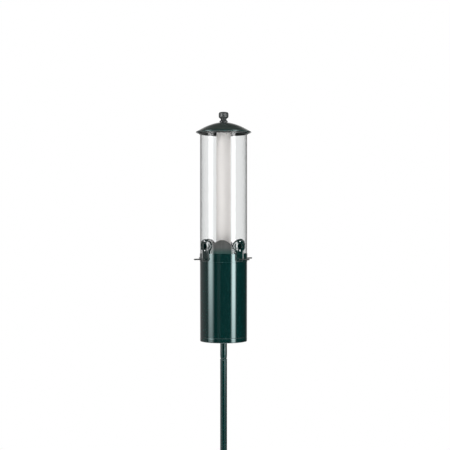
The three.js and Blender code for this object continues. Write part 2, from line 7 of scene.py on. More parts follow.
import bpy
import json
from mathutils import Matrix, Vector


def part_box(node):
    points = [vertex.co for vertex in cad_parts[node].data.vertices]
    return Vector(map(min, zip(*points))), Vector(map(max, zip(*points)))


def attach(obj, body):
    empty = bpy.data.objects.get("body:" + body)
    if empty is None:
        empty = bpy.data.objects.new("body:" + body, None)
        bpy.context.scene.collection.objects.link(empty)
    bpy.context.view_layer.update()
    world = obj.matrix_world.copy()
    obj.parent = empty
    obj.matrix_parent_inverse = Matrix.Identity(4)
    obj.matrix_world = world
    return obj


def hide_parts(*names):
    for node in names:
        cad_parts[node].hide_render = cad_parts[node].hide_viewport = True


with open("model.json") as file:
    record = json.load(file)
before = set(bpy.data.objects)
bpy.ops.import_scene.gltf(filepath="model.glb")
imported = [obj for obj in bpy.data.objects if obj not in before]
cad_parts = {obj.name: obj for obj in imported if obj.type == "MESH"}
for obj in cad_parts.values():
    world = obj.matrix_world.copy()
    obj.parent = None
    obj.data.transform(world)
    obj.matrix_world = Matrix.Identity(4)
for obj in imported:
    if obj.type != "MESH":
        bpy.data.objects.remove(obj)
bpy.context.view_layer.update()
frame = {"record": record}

import json
import logging
import math
from dataclasses import dataclass
from enum import Enum
from typing import Callable, Iterable, Optional, Sequence, Union

import bpy
import bmesh
import numpy as np

LOG = logging.getLogger("feeder")
MM = 0.001
TURN = 2 * math.pi
GAP = 0.3  # between pieces that touch
ROD_BORE = 4.3  # radius of the holes for the tie rod
MERGED = 1e-6  # metres between points that become one
Colour = tuple[float, float, float]


class Body(str, Enum):
    """The moving bodies of the frame that pieces ride on."""

    POLE = "pole"
    FEEDER = "feeder"
    LID = "lid"
    KNOB = "lid_knob"


# ---------------------------------------------------------------- surfaces
@dataclass(frozen=True)
class Extent:
    """The box of one frame node, in millimetres.

    Args:
        low: lowest corner.
        high: highest corner.
    """

    low: np.ndarray
    high: np.ndarray

    @classmethod
    def of(cls, node: str) -> "Extent":
        """The box of a named node.

        Args:
            node: its name.

        Returns:
            Its box.
        """
        low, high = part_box(node)
        return cls(np.array(low) / MM, np.array(high) / MM)

    @property
    def bottom(self) -> float:
        """Lowest height."""
        return float(self.low[2])

    @property
    def top(self) -> float:
        """Highest height."""
        return float(self.high[2])

    @property
    def radius(self) -> float:
        """Largest reach to the right of the pole axis."""
        return float(self.high[0])

    @property
    def bearing(self) -> float:
        """Degrees that the node's middle is turned about the pole axis from the front."""
        middle = (self.low + self.high) / 2
        return math.degrees(math.atan2(middle[0], -middle[1]))


@dataclass(frozen=True)
class Surface:
    """A grid of points that becomes quads.

    Args:
        points: array of rows by columns by 3.
        wrap_rows: whether the last row joins the first.
        wrap_columns: whether the last column joins the first.
    """

    points: np.ndarray
    wrap_rows: bool = True
    wrap_columns: bool = True

    def quads(self) -> np.ndarray:
        """Corner indices of each quad, wound so that row direction x column direction points inwards.

        Returns:
            Array of quads by 4.
        """
        rows, columns = self.points.shape[:2]
        row = np.arange(rows if self.wrap_rows else rows - 1)[:, None]
        column = np.arange(columns if self.wrap_columns else columns - 1)[None, :]
        row_next, column_next = (row + 1) % rows, (column + 1) % columns
        corners = [(row, column), (row, column_next), (row_next, column_next), (row_next, column)]
        return np.stack([r * columns + c for r, c in corners], axis=-1).reshape(-1, 4)

    def moved(self, change: Callable[[np.ndarray], np.ndarray]) -> "Surface":
        """The same grid with its points changed by a function."""
        return Surface(change(self.points), self.wrap_rows, self.wrap_columns)


def soften(corners: Sequence[Sequence[float]], closed: bool = True, steps: int = 5) -> np.ndarray:
    """Rounds the corners of a profile.

    Each corner (a, b, size) is replaced by the parabola (1-s)^2 A + 2s(1-s) P + s^2 B, where P is the
    corner and A and B lie on its two sides at the distance size from it, which is at most 0.4 of a side.
    A point a little beyond A and B keeps the shading of the flat sides flat.

    Args:
        corners: (a, b, size) for each corner.
        closed: whether the last corner joins the first.
        steps: points along each rounded corner.

    Returns:
        Array of points by 2.
    """
    table = np.array(corners, float)
    place, size = table[:, :2], table[:, 2:]
    before, after = np.roll(place, 1, axis=0), np.roll(place, -1, axis=0)
    if not closed:
        before[0], after[-1] = place[0], place[-1]
    length_before = np.linalg.norm(before - place, axis=1, keepdims=True)
    length_after = np.linalg.norm(after - place, axis=1, keepdims=True)
    unit_before = (before - place) / np.maximum(length_before, 1e-9)
    unit_after = (after - place) / np.maximum(length_after, 1e-9)
    size = np.minimum(size, 0.4 * np.minimum(length_before, length_after))
    along = np.linspace(0, 1, steps)[None, :, None]
    start, end = (place + size * unit_before)[:, None], (place + size * unit_after)[:, None]
    curve = (1 - along) ** 2 * start + 2 * along * (1 - along) * place[:, None] + along ** 2 * end
    lead, tail = (place + 1.2 * size * unit_before)[:, None], (place + 1.2 * size * unit_after)[:, None]
    flat = np.concatenate([lead, curve, tail], axis=1).reshape(-1, 2)
    keep = np.r_[True, np.linalg.norm(np.diff(flat, axis=0), axis=1) > 1e-5]
    return flat[keep]


def refine(profile: np.ndarray, longest: float, closed: bool = True) -> np.ndarray:
    """Splits the straight stretches of a profile so that no step is longer than a given length.

    Args:
        profile: array of points by 2.
        longest: the longest step.
        closed: whether the last point joins the first.

    Returns:
        The profile with points added.
    """
    ends = np.roll(profile, -1, axis=0) if closed else profile[1:]
    starts = profile if closed else profile[:-1]
    counts = np.maximum(1, np.ceil(np.linalg.norm(ends - starts, axis=1) / longest)).astype(int)
    index = np.repeat(np.arange(len(starts)), counts)
    share = (np.arange(len(index)) - np.repeat(np.cumsum(counts) - counts, counts)) / counts[index]
    points = starts[index] + share[:, None] * (ends - starts)[index]
    return points if closed else np.vstack([points, profile[-1:]])


def around(sides: int) -> np.ndarray:
    """Equal steps of a full turn, in radians."""
    return np.linspace(0, TURN, sides, endpoint=False)


def turned(corners: Sequence[Sequence[float]], sides: Union[int, np.ndarray] = 192, longest: float = 20.0,
           relief: Optional[Callable] = None) -> Surface:
    """Turns a softened profile about the pole axis.

    A point is (r sin t, -r cos t, z), with t = 0 at the front.

    Args:
        corners: (radius, height, corner size), anticlockwise; it starts and ends on the axis or is closed.
        sides: how many steps of a turn, or the angles themselves.
        longest: the longest step along the profile.
        relief: relief(r, z, t) is added to r.

    Returns:
        The surface.
    """
    on_axis = corners[0][0] == 0
    profile = refine(soften(corners, not on_axis), longest, not on_axis)
    angle = (around(sides) if isinstance(sides, int) else sides)[None, :]
    radius = np.repeat(profile[:, :1], angle.size, axis=1)
    height = np.repeat(profile[:, 1:2], angle.size, axis=1)
    if relief is not None:
        radius = np.maximum(radius + relief(radius, height, angle), 0)
    points = np.stack([radius * np.sin(angle), -radius * np.cos(angle), height], axis=-1)
    return Surface(points, wrap_rows=not on_axis)


def ring(bore: float, radius: float, low: float, high: float, corner: float = 0.3) -> list[tuple]:
    """The profile of a plain ring with softened corners."""
    return [(bore, low, corner), (radius, low, corner), (radius, high, corner), (bore, high, corner)]


def smoothstep(low: float, high: float, value: np.ndarray) -> np.ndarray:
    """0 below low, 1 above high, and 3s^2 - 2s^3 between.

    Args:
        low: where it leaves 0.
        high: where it reaches 1.
        value: any values.

    Returns:
        A share from 0 to 1 for each value.
    """
    share = np.clip((value - low) / (high - low), 0, 1)
    return share * share * (3 - 2 * share)


def turn_about_pole(points: np.ndarray, degrees: float) -> np.ndarray:
    """Points turned about the pole axis, anticlockwise seen from above.

    Args:
        points: array whose last axis is x, y, z.
        degrees: the angle.

    Returns:
        The points turned.
    """
    cosine, sine = math.cos(math.radians(degrees)), math.sin(math.radians(degrees))
    x, y, z = points[..., 0], points[..., 1], points[..., 2]
    return np.stack([x * cosine - y * sine, x * sine + y * cosine, z], axis=-1)


def wrapped(across: np.ndarray, height: np.ndarray, reach: np.ndarray) -> np.ndarray:
    """Points seen from the front at (across, height), laid on a drum of radius r: y = -sqrt(r^2 - x^2)."""
    reach = np.broadcast_to(reach, across.shape)
    return np.stack([across, -np.sqrt(np.maximum(reach ** 2 - across ** 2, 0)), height], axis=-1)


def facing_out(surface: Surface, bearing: float, height: float, reach: float = 0.0) -> Surface:
    """A surface turned about Z, laid over so that its axis points straight out of the pole.

    Args:
        surface: the surface standing on the origin.
        bearing: degrees from the front.
        height: height of its axis.
        reach: distance of its origin from the pole axis.

    Returns:
        The surface in place.
    """
    def lay(points: np.ndarray) -> np.ndarray:
        """(x, y, z) goes to (x, -z - reach, y + height), then turns about the pole."""
        laid = np.stack([points[..., 0], -points[..., 2] - reach, points[..., 1] + height], axis=-1)
        return turn_about_pole(laid, bearing)
    return surface.moved(lay)


def shifted(surface: Surface, x: float = 0.0, y: float = 0.0, z: float = 0.0) -> Surface:
    """A surface moved by a step."""
    return surface.moved(lambda points: points + np.array([x, y, z]))


def loop_normals(curve: np.ndarray) -> np.ndarray:
    """Outward unit normals (ty, -tx) of an anticlockwise loop, t being the chord of the two neighbours.

    Args:
        curve: array of points by 2.

    Returns:
        A normal for each point.
    """
    chord = np.roll(curve, -1, axis=0) - np.roll(curve, 1, axis=0)
    chord /= np.maximum(np.linalg.norm(chord, axis=1, keepdims=True), 1e-9)
    return np.stack([chord[:, 1], -chord[:, 0]], axis=1)


def even_loop(curve: np.ndarray, count: int) -> np.ndarray:
    """A closed curve resampled at equal lengths.

    Args:
        curve: array of points by 2.
        count: how many points to give.

    Returns:
        Array of count by 2.
    """
    closed = np.vstack([curve, curve[:1]])
    length = np.r_[0, np.cumsum(np.linalg.norm(np.diff(closed, axis=0), axis=1))]
    want = np.linspace(0, length[-1], count, endpoint=False)
    return np.stack([np.interp(want, length, closed[:, axis]) for axis in (0, 1)], axis=1)


def star_circle(curve: np.ndarray, centre: Sequence[float], radius: float) -> np.ndarray:
    """The points of a circle that lie in the same directions from its centre as the points of a loop."""
    away = curve - np.array(centre)
    return np.array(centre) + radius * away / np.linalg.norm(away, axis=1, keepdims=True)


def laid_on_drum(layers: Sequence[tuple], bearing: float = 0.0) -> Surface:
    """Loops drawn as seen from the front, each laid on a drum of its own radius and joined in turn.

    Args:
        layers: (loop of (across, height), radius of the drum, as a number or one for each point).
        bearing: degrees that the result is turned about the pole.

    Returns:
        The closed surface.
    """
    rows = [wrapped(curve[:, 0], curve[:, 1], np.asarray(reach, float)) for curve, reach in layers]
    return Surface(turn_about_pole(np.stack(rows), bearing))


def stacked(layers: Sequence[tuple]) -> Surface:
    """Flat loops of (x, y), each at its own height, joined in turn into a closed surface."""
    points = np.stack([np.column_stack([curve, np.full(len(curve), height)]) for curve, height in layers])
    return Surface(points)


def make_object(name: str, surfaces: Iterable[Surface], crease: float = 32.0) -> bpy.types.Object:
    """Joins surfaces into one mesh object at the origin.

    Args:
        name: the object's name.
        surfaces: grids in millimetres; doubled points at poles and seams are merged.
        crease: edges sharper than this angle in degrees stay sharp.

    Returns:
        The linked object.
    """
    parts = list(surfaces)
    points = np.concatenate([part.points.reshape(-1, 3) for part in parts]) * MM
    offsets = np.cumsum([0] + [part.points.shape[0] * part.points.shape[1] for part in parts[:-1]])
    quads = np.concatenate([part.quads() + offset for part, offset in zip(parts, offsets)])
    mesh = bpy.data.meshes.new(name)
    mesh.vertices.add(len(points))
    mesh.vertices.foreach_set("co", points.astype(np.float32).ravel())
    mesh.loops.add(quads.size)
    mesh.loops.foreach_set("vertex_index", quads.astype(np.int32).ravel())
    mesh.polygons.add(len(quads))
    mesh.polygons.foreach_set("loop_start", np.arange(0, quads.size, 4, dtype=np.int32))
    mesh.update(calc_edges=True)
    work = bmesh.new()
    work.from_mesh(mesh)
    bmesh.ops.remove_doubles(work, verts=work.verts, dist=MERGED)
    work.to_mesh(mesh)
    work.free()
    mesh.polygons.foreach_set("use_smooth", np.ones(len(mesh.polygons), bool))
    mesh.set_sharp_from_angle(angle=math.radians(crease))
    mesh.validate()
    piece = bpy.data.objects.new(name, mesh)
    bpy.context.scene.collection.objects.link(piece)
    return piece


# ---------------------------------------------------------------- shader expressions
Term = Union["Wire", float]


class Wire:
    """A number coming out of a node, which Python operators turn into Math nodes.

    Args:
        graph: the graph that owns the socket.
        socket: the output socket.
    """

    def __init__(self, graph: "Graph", socket: bpy.types.NodeSocket) -> None:
        """Holds the graph and the socket."""
        self.graph, self.socket = graph, socket

    def _math(self, operation: str, left: Term, right: Term = 0.0) -> "Wire":
        """A Math node on two terms."""
        node = self.graph.node("ShaderNodeMath", {"operation": operation}, {0: left, 1: right})
        return Wire(self.graph, node.outputs[0])

    def __add__(self, other: Term) -> "Wire":
        """Sum."""
        return self._math("ADD", self, other)

    __radd__ = __add__

    def __sub__(self, other: Term) -> "Wire":
        """Difference."""
        return self._math("SUBTRACT", self, other)

    def __rsub__(self, other: Term) -> "Wire":
        """Reflected difference."""
        return self._math("SUBTRACT", other, self)

    def __mul__(self, other: Term) -> "Wire":
        """Product."""
        return self._math("MULTIPLY", self, other)

    __rmul__ = __mul__

    def __pow__(self, other: Term) -> "Wire":
        """Power."""
        return self._math("POWER", self, other)

    def least(self, other: Term) -> "Wire":
        """The smaller of two."""
        return self._math("MINIMUM", self, other)

    def most(self, other: Term) -> "Wire":
        """The larger of two."""
        return self._math("MAXIMUM", self, other)

    def step(self, low: float, high: float) -> "Wire":
        """0 at low, 1 at high and smooth between.

        Args:
            low: where it leaves 0.
            high: where it reaches 1.

        Returns:
            The share from 0 to 1.
        """
        node = self.graph.node("ShaderNodeMapRange", {"interpolation_type": "SMOOTHSTEP"},
                               {"Value": self, "From Min": low, "From Max": high})
        return Wire(self.graph, node.outputs["Result"])


class Graph:
    """A node tree being written.

    Args:
        tree: the tree, which is emptied first.
    """

    def __init__(self, tree: bpy.types.NodeTree) -> None:
        """Empties the tree."""
        self.tree = tree
        tree.nodes.clear()

    def node(self, kind: str, settings: Optional[dict] = None, sockets: Optional[dict] = None
             ) -> bpy.types.Node:
        """Makes one node.

        Args:
            kind: the node's type.
            settings: its attributes.
            sockets: values or links by socket name or number.

        Returns:
            The node.
        """
        made = self.tree.nodes.new(kind)
        for key, value in (settings or {}).items():
            setattr(made, key, value)
        for key, value in (sockets or {}).items():
            source = getattr(value, "socket", value)
            if isinstance(source, bpy.types.NodeSocket):
                self.tree.links.new(source, made.inputs[key])
            else:
                made.inputs[key].default_value = source
        return made

    def place(self, scale: Colour = (1.0, 1.0, 1.0)) -> bpy.types.NodeSocket:
        """The piece's own coordinates in metres, times a scale.

        Args:
            scale: a factor for each axis.

        Returns:
            The coordinates' socket.
        """
        own = self.node("ShaderNodeTexCoord").outputs["Object"]
        mapped = self.node("ShaderNodeMapping", {"vector_type": "POINT"}, {"Vector": own, "Scale": scale})
        return mapped.outputs["Vector"]

    def noise(self, per_metre: float, stretch: Colour = (1.0, 1.0, 1.0), detail: float = 3.0,
              roughness: float = 0.5) -> Wire:
        """Noise from 0 to 1 with so many cells a metre, stretched by a scale along each axis.

        Args:
            per_metre: cells in a metre.
            stretch: a factor on it for each axis.
            detail: octaves.
            roughness: weight of each finer octave.

        Returns:
            The noise.
        """
        made = self.node("ShaderNodeTexNoise", None, {
            "Vector": self.place(stretch), "Scale": per_metre, "Detail": detail, "Roughness": roughness})
        return Wire(self, made.outputs["Fac"])

    def cells(self, per_metre: float) -> Wire:
        """Distance from the middle of the nearest Voronoi cell.

        Args:
            per_metre: cells in a metre.

        Returns:
            The distance, in cells.
        """
        made = self.node("ShaderNodeTexVoronoi", {"feature": "F1"}, {
            "Vector": self.place(), "Scale": per_metre})
        return Wire(self, made.outputs["Distance"])

    def height(self) -> Wire:
        """Height above the ground in metres."""
        own = self.node("ShaderNodeTexCoord").outputs["Object"]
        return Wire(self, self.node("ShaderNodeSeparateXYZ", None, {0: own}).outputs["Z"])

    def upward(self) -> Wire:
        """How far the surface faces up, from -1 to 1."""
        normal = self.node("ShaderNodeNewGeometry").outputs["Normal"]
        return Wire(self, self.node("ShaderNodeSeparateXYZ", None, {0: normal}).outputs["Z"])

    def blend(self, share: Term, first: Union[Colour, bpy.types.NodeSocket],
              second: Union[Colour, bpy.types.NodeSocket]) -> bpy.types.NodeSocket:
        """A colour between two colours.

        Args:
            share: 0 for the first, 1 for the second.
            first: a colour or a socket.
            second: a colour or a socket.

        Returns:
            The colour's socket.
        """
        as_colour = [value if isinstance(value, bpy.types.NodeSocket) else (*value, 1.0)
                     for value in (first, second)]
        made = self.node("ShaderNodeMix", {"data_type": "RGBA"}, {0: share, 6: as_colour[0], 7: as_colour[1]})
        return made.outputs[2]

    def bump(self, height: Wire, depth: float, normal: Optional[bpy.types.NodeSocket] = None
             ) -> bpy.types.NodeSocket:
        """A normal from a height of 0 to 1 times a depth in metres.

        Args:
            height: the height.
            depth: metres that a height of 1 stands for.
            normal: the normal to start from.

        Returns:
            The normal's socket.
        """
        sockets = {"Height": height, "Distance": depth, "Strength": 1.0}
        if normal is not None:
            sockets["Normal"] = normal
        return self.node("ShaderNodeBump", None, sockets).outputs["Normal"]


@dataclass(frozen=True)
class Finish:
    """A surface finish; each kind writes its own nodes.

    Args:
        name: the material's name.
        colour: linear base colour.
        roughness: mean roughness.
    """

    name: str
    colour: Colour
    roughness: float

    def shade(self, graph: Graph) -> dict:
        """The sockets of the main shader; each kind gives its own."""
        raise NotImplementedError

    def material(self) -> bpy.types.Material:
        """The finish's material, made once; its name differs from the frame's own materials.

        Returns:
            The material.
        """
        known = bpy.data.materials.get(f"fine_{self.name}")
        if known is not None:
            return known
        made = bpy.data.materials.new(f"fine_{self.name}")
        made.use_nodes = True
        graph = Graph(made.node_tree)
        shader = graph.node("ShaderNodeBsdfPrincipled", None, self.shade(graph))
        self.close(graph, shader.outputs[0])
        return made

    def close(self, graph: Graph, shader: bpy.types.NodeSocket) -> None:
        """Links the shader to the material's output."""
        graph.node("ShaderNodeOutputMaterial", None, {"Surface": shader})

    def tinted(self, share: float) -> Colour:
        """The base colour made lighter or darker."""
        return tuple(min(1.0, channel * share) for channel in self.colour)


@dataclass(frozen=True)
class Enamel(Finish):
    """Gloss paint on rolled sheet and tube: orange peel, roll lines, dust on ledges and rubbed patches.

    Args:
        peel: depth of the orange peel in metres.
        dust: colour of the dust.
    """

    peel: float = 0.00002
    dust: Colour = (0.09, 0.1, 0.085)

    def shade(self, graph: Graph) -> dict:
        """Colour drift, dust where the surface faces up, uneven gloss and a skin of orange peel.

        Args:
            graph: the material's graph.

        Returns:
            Values and links by socket of the main shader.
        """
        drift = graph.noise(7.0, detail=4.0)
        rolled = graph.noise(60.0, (1.0, 1.0, 0.012), detail=2.0)
        specks = graph.noise(900.0, detail=2.0).step(0.62, 0.8)
        lying = graph.upward().step(0.35, 0.95)
        base = graph.blend(drift, self.tinted(0.82), self.tinted(1.18))
        dusted = graph.blend(lying * (0.1 + 0.2 * graph.noise(35.0)) + specks * 0.02, base, self.dust)
        rubbed = graph.noise(28.0, (1.0, 1.0, 0.35), detail=5.0, roughness=0.65).step(0.55, 0.75)
        roughness = self.roughness + 0.03 * (rolled - 0.5) + 0.05 * rubbed + 0.2 * lying
        skin = graph.bump(graph.noise(420.0, detail=1.5), self.peel)
        return {
            "Base Color": dusted, "Roughness": roughness, "Normal": graph.bump(rolled, 0.00006, skin),
            "Specular IOR Level": 0.5, "Specular Tint": (0.55, 1.0, 1.0, 1.0), "Coat Weight": 1.0,
            "Coat Roughness": 0.05,
        }


@dataclass(frozen=True)
class HammeredCoat(Finish):
    """Hammered coating on a casting: small dimples, a speckle of metal flake, and green spray on its foot.

    Args:
        fleck: colour of the flake.
        spray: colour of the spray.
        spray_top: height in metres where the spray ends.
    """

    fleck: Colour = (0.3, 0.28, 0.275)
    spray: Colour = (0.01, 0.045, 0.04)
    spray_top: float = 1.272

    def shade(self, graph: Graph) -> dict:
        """Dimples from cell distances, flecks from fine noise.

        Args:
            graph: the material's graph.

        Returns:
            Values and links by socket of the main shader.
        """
        dimple = graph.cells(260.0).step(0.05, 0.6)
        fleck = graph.noise(700.0, detail=3.0, roughness=0.7).step(0.52, 0.72)
        drift = graph.noise(45.0, detail=4.0)
        base = graph.blend(drift, self.tinted(0.75), self.tinted(1.3))
        speckled = graph.blend(fleck * 0.55 + dimple * 0.12, base, self.fleck)
        sprayed = (self.spray_top - graph.height()).step(-0.004, 0.014) * (0.75 + 0.25 * drift)
        return {
            "Base Color": graph.blend(sprayed, speckled, self.spray), "Metallic": 0.15 + 0.3 * fleck,
            "Roughness": self.roughness + 0.18 * dimple - 0.1 * fleck,
            "Normal": graph.bump(dimple, 0.0002, graph.bump(fleck, 0.00003)),
            "Coat Weight": 0.35, "Coat Roughness": 0.2,
        }


@dataclass(frozen=True)
class Moulding(Finish):
    """Moulded plastic: a fine spark-eroded grain, flow marks and a little sheen on worn places.

    Args:
        grain: depth of the grain in metres.
        gloss: weight of the clear coat.
    """

    grain: float = 0.00002
    gloss: float = 0.4

    def shade(self, graph: Graph) -> dict:
        """Grain as bump and roughness, slow flow marks in the colour.

        Args:
            graph: the material's graph.

        Returns:
            Values and links by socket of the main shader.
        """
        grain = graph.noise(1400.0, detail=2.0)
        flow = graph.noise(30.0, (1.0, 1.0, 0.5), detail=5.0, roughness=0.6)
        worn = graph.noise(70.0, detail=4.0).step(0.58, 0.75)
        base = graph.blend(flow, self.tinted(0.8), self.tinted(1.25))
        return {
            "Base Color": graph.blend(worn * 0.25, base, self.tinted(1.9)),
            "Roughness": self.roughness + 0.12 * (grain - 0.5) + 0.08 * flow - 0.06 * worn,
            "Normal": graph.bump(grain, self.grain), "Coat Weight": self.gloss, "Coat Roughness": 0.08,
        }


@dataclass(frozen=True)
class Extrusion(Finish):
    """Satin extruded pipe: fine lines along its length, faint yellowing and scuffs.

    Args:
        aged: colour that it yellows to.
    """

    aged: Colour = (0.84, 0.8, 0.77)

    def shade(self, graph: Graph) -> dict:
        """Lines along Z in bump, colour and roughness.

        Args:
            graph: the material's graph.

        Returns:
            Values and links by socket of the main shader.
        """
        lines = graph.noise(260.0, (1.0, 1.0, 0.004), detail=3.0)
        age = graph.noise(9.0, (1.0, 1.0, 0.5), detail=4.0)
        scuff = graph.noise(120.0, (1.0, 1.0, 0.12), detail=4.0).step(0.6, 0.8)
        base = graph.blend(age * 0.35 + lines * 0.2, self.colour, self.aged)
        return {
            "Base Color": graph.blend(scuff * 0.2, base, self.tinted(0.7)),
            "Roughness": self.roughness + 0.12 * (lines - 0.5) + 0.1 * scuff,
            "Normal": graph.bump(lines, 0.00008),
        }


@dataclass(frozen=True)
class PlatedSteel(Finish):
    """Zinc or bright plate: cloudy patches, drawing lines and, under the ground, earth and rust stains.

    Args:
        stain: colour of the stains.
        buried: whether it has them.
    """

    stain: Colour = (0.17, 0.075, 0.03)
    buried: bool = False

    def shade(self, graph: Graph) -> dict:
        """Metal with cloud and line patterns; the stain grows downwards from the ground line.

        Args:
            graph: the material's graph.

        Returns:
            Values and links by socket of the main shader.
        """
        cloud = graph.noise(90.0, detail=5.0, roughness=0.6)
        lines = graph.noise(700.0, (1.0, 1.0, 0.03), detail=2.0)
        base = graph.blend(cloud, self.tinted(0.75), self.tinted(1.1))
        roughness = self.roughness + 0.22 * (cloud - 0.5) + 0.1 * (lines - 0.5)
        sockets = {"Base Color": base, "Metallic": 1.0, "Roughness": roughness,
                   "Normal": graph.bump(lines, 0.00003)}
        if self.buried:
            depth = (0.01 - graph.height()).step(0.0, 0.12)
            blotch = (graph.noise(55.0, detail=6.0, roughness=0.65) + 0.35 * depth).step(0.5, 0.75)
            soiled = (blotch * (0.25 + 0.75 * depth)).least(1.0)
            sockets.update({
                "Base Color": graph.blend(soiled, base, self.stain), "Metallic": 1.0 - soiled,
                "Roughness": roughness + 0.5 * soiled})
        return sockets


@dataclass(frozen=True)
class ClearAcrylic(Finish):
    """Clear extruded tube that light from lamps passes through, with faint draw lines.

    Args:
        index: index of refraction.
    """

    index: float = 1.49

    def shade(self, graph: Graph) -> dict:
        """A clear body with a ripple along its length.

        Args:
            graph: the material's graph.

        Returns:
            Values and links by socket of the main shader.
        """
        ripple = graph.noise(34.0, (1.0, 1.0, 0.01), detail=2.0)
        return {
            "Base Color": (*self.colour, 1.0), "Roughness": self.roughness, "IOR": self.index,
            "Transmission Weight": 1.0, "Normal": graph.bump(ripple, 0.00004),
        }

    def close(self, graph: Graph, shader: bpy.types.NodeSocket) -> None:
        """Mixes in a transparent shader for the rays that look for lamps."""
        lamp_ray = graph.node("ShaderNodeLightPath").outputs["Is Shadow Ray"]
        clear = graph.node("ShaderNodeBsdfTransparent", None, {"Color": (0.98, 0.98, 0.98, 1.0)})
        mixed = graph.node("ShaderNodeMixShader", None, {0: lamp_ray, 1: shader, 2: clear.outputs[0]})
        super().close(graph, mixed.outputs[0])


GREEN_ENAMEL = Enamel("green_enamel", (0.0003, 0.0062, 0.0058), 0.12)
GREEN_CASTING = HammeredCoat("green_hammered_casting", (0.036, 0.04, 0.039), 0.4)
GREEN_MOULDING = Moulding("green_gloss_moulding", (0.0004, 0.0062, 0.0056), 0.16, gloss=1.0)
CLEAR_TUBE = ClearAcrylic("clear_acrylic", (0.95, 0.957, 0.957), 0.0)
GREY_PIPE = Extrusion("grey_pipe", (0.92, 0.885, 0.865), 0.42)
BLACK_ROD = Moulding("black_rod", (0.008, 0.009, 0.009), 0.3, grain=0.00001, gloss=0.5)
BLACK_MOULDING = Moulding("black_moulding", (0.012, 0.014, 0.014), 0.38)
ZINC_STEEL = PlatedSteel("zinc_steel", (0.56, 0.57, 0.58), 0.38)
SPIKE_STEEL = PlatedSteel("spike_zinc_steel", (0.5, 0.5, 0.5), 0.42, buried=True)
BRIGHT_STEEL = PlatedSteel("bright_steel", (0.78, 0.79, 0.8), 0.2)


def ride_of(node: str) -> Body:
    """The body that a frame node rides on.

    Args:
        node: the node's name.

    Returns:
        The body.
    """
    bodies = frame["record"]["behaviour"]["bodies"]
    return next(body for body in Body if node in bodies[body.value])


def fit_out(node: str, surfaces: Iterable[Surface], finish: Finish, crease: float = 32.0) -> None:
    """Makes the fine piece that stands for one frame node.

    Args:
        node: the frame node; the piece is named after it.
        surfaces: the piece's grids in millimetres.
        finish: its finish.
        crease: edges sharper than this angle in degrees stay sharp.
    """
    piece = make_object(f"fine_{node}", surfaces, crease)
    piece.data.materials.append(finish.material())
    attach(piece, ride_of(node).value)
    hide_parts(node)
    LOG.info("%s: %d faces", piece.name, len(piece.data.polygons))


# ---------------------------------------------------------------- fastenings
def hexagon(width: float) -> Callable:
    """A relief that turns a circle of radius r into a hexagon of a width across flats, r where r is less.

    Args:
        width: width across flats.

    Returns:
        The relief.
    """
    def relief(radius: np.ndarray, height: np.ndarray, angle: np.ndarray) -> np.ndarray:
        """width / 2 / cos(t from the middle of the nearest flat), less r, where that is below 0."""
        flat = (angle + math.pi / 6) % (math.pi / 3) - math.pi / 6
        return np.where(radius > width * 0.42, np.minimum(width / 2 / np.cos(flat) - radius, 0), 0)
    return relief


def hex_nut(width: float, height: float, bore: float) -> Surface:
    """A chamfered hexagon nut standing on the origin.

    Args:
        width: width across flats.
        height: its thickness.
        bore: radius of its hole.

    Returns:
        The surface.
    """
    corner, chamfer = width / math.sqrt(3), width * 0.07
    face = width * 0.48
    profile = [(bore + 0.4, 0, 0), (face, 0, 0), (corner, chamfer, 0), (corner, height - chamfer, 0),
               (face, height, 0), (bore + 0.4, height, 0), (bore, height - 0.4, 0), (bore, 0.4, 0)]
    return turned(profile, 72, longest=1.0, relief=hexagon(width))


def cross_recess(reach: float) -> Callable:
    """A relief that squeezes what lies within a reach into a cross of four arms.

    Args:
        reach: radius of the recess.

    Returns:
        The relief.
    """
    def relief(radius: np.ndarray, height: np.ndarray, angle: np.ndarray) -> np.ndarray:
        """r (0.3 + 0.7 |cos 2t|^5 - 1) within the reach."""
        arms = 0.3 + 0.7 * np.abs(np.cos(2 * angle)) ** 5
        return np.where(radius < reach, radius * (arms - 1), 0)
    return relief


def pan_screw(shank: float, length: float, head: float, rise: float) -> Surface:
    """A pan-head screw with a cross recess, its seat at 0, its head above and its shank below.

    Args:
        shank: radius of the shank.
        length: and its length.
        head: radius of the head.
        rise: and its height.

    Returns:
        The surface.
    """
    recess = head * 0.3
    profile = [(0, -length, 0), (shank * 0.6, -length, 0), (shank, 1.2 - length, 0.2), (shank, 0, 0.1),
               (head, 0, 0.15), (head, rise * 0.42, rise * 0.3), (head * 0.7, rise * 0.86, head * 0.2),
               (recess * 1.15, rise, 0.1), (recess * 0.99, rise - 0.1, 0), (recess * 0.8, rise * 0.45, 0),
               (0, rise * 0.35, 0)]
    return turned(profile, 64, longest=0.6, relief=cross_recess(recess))


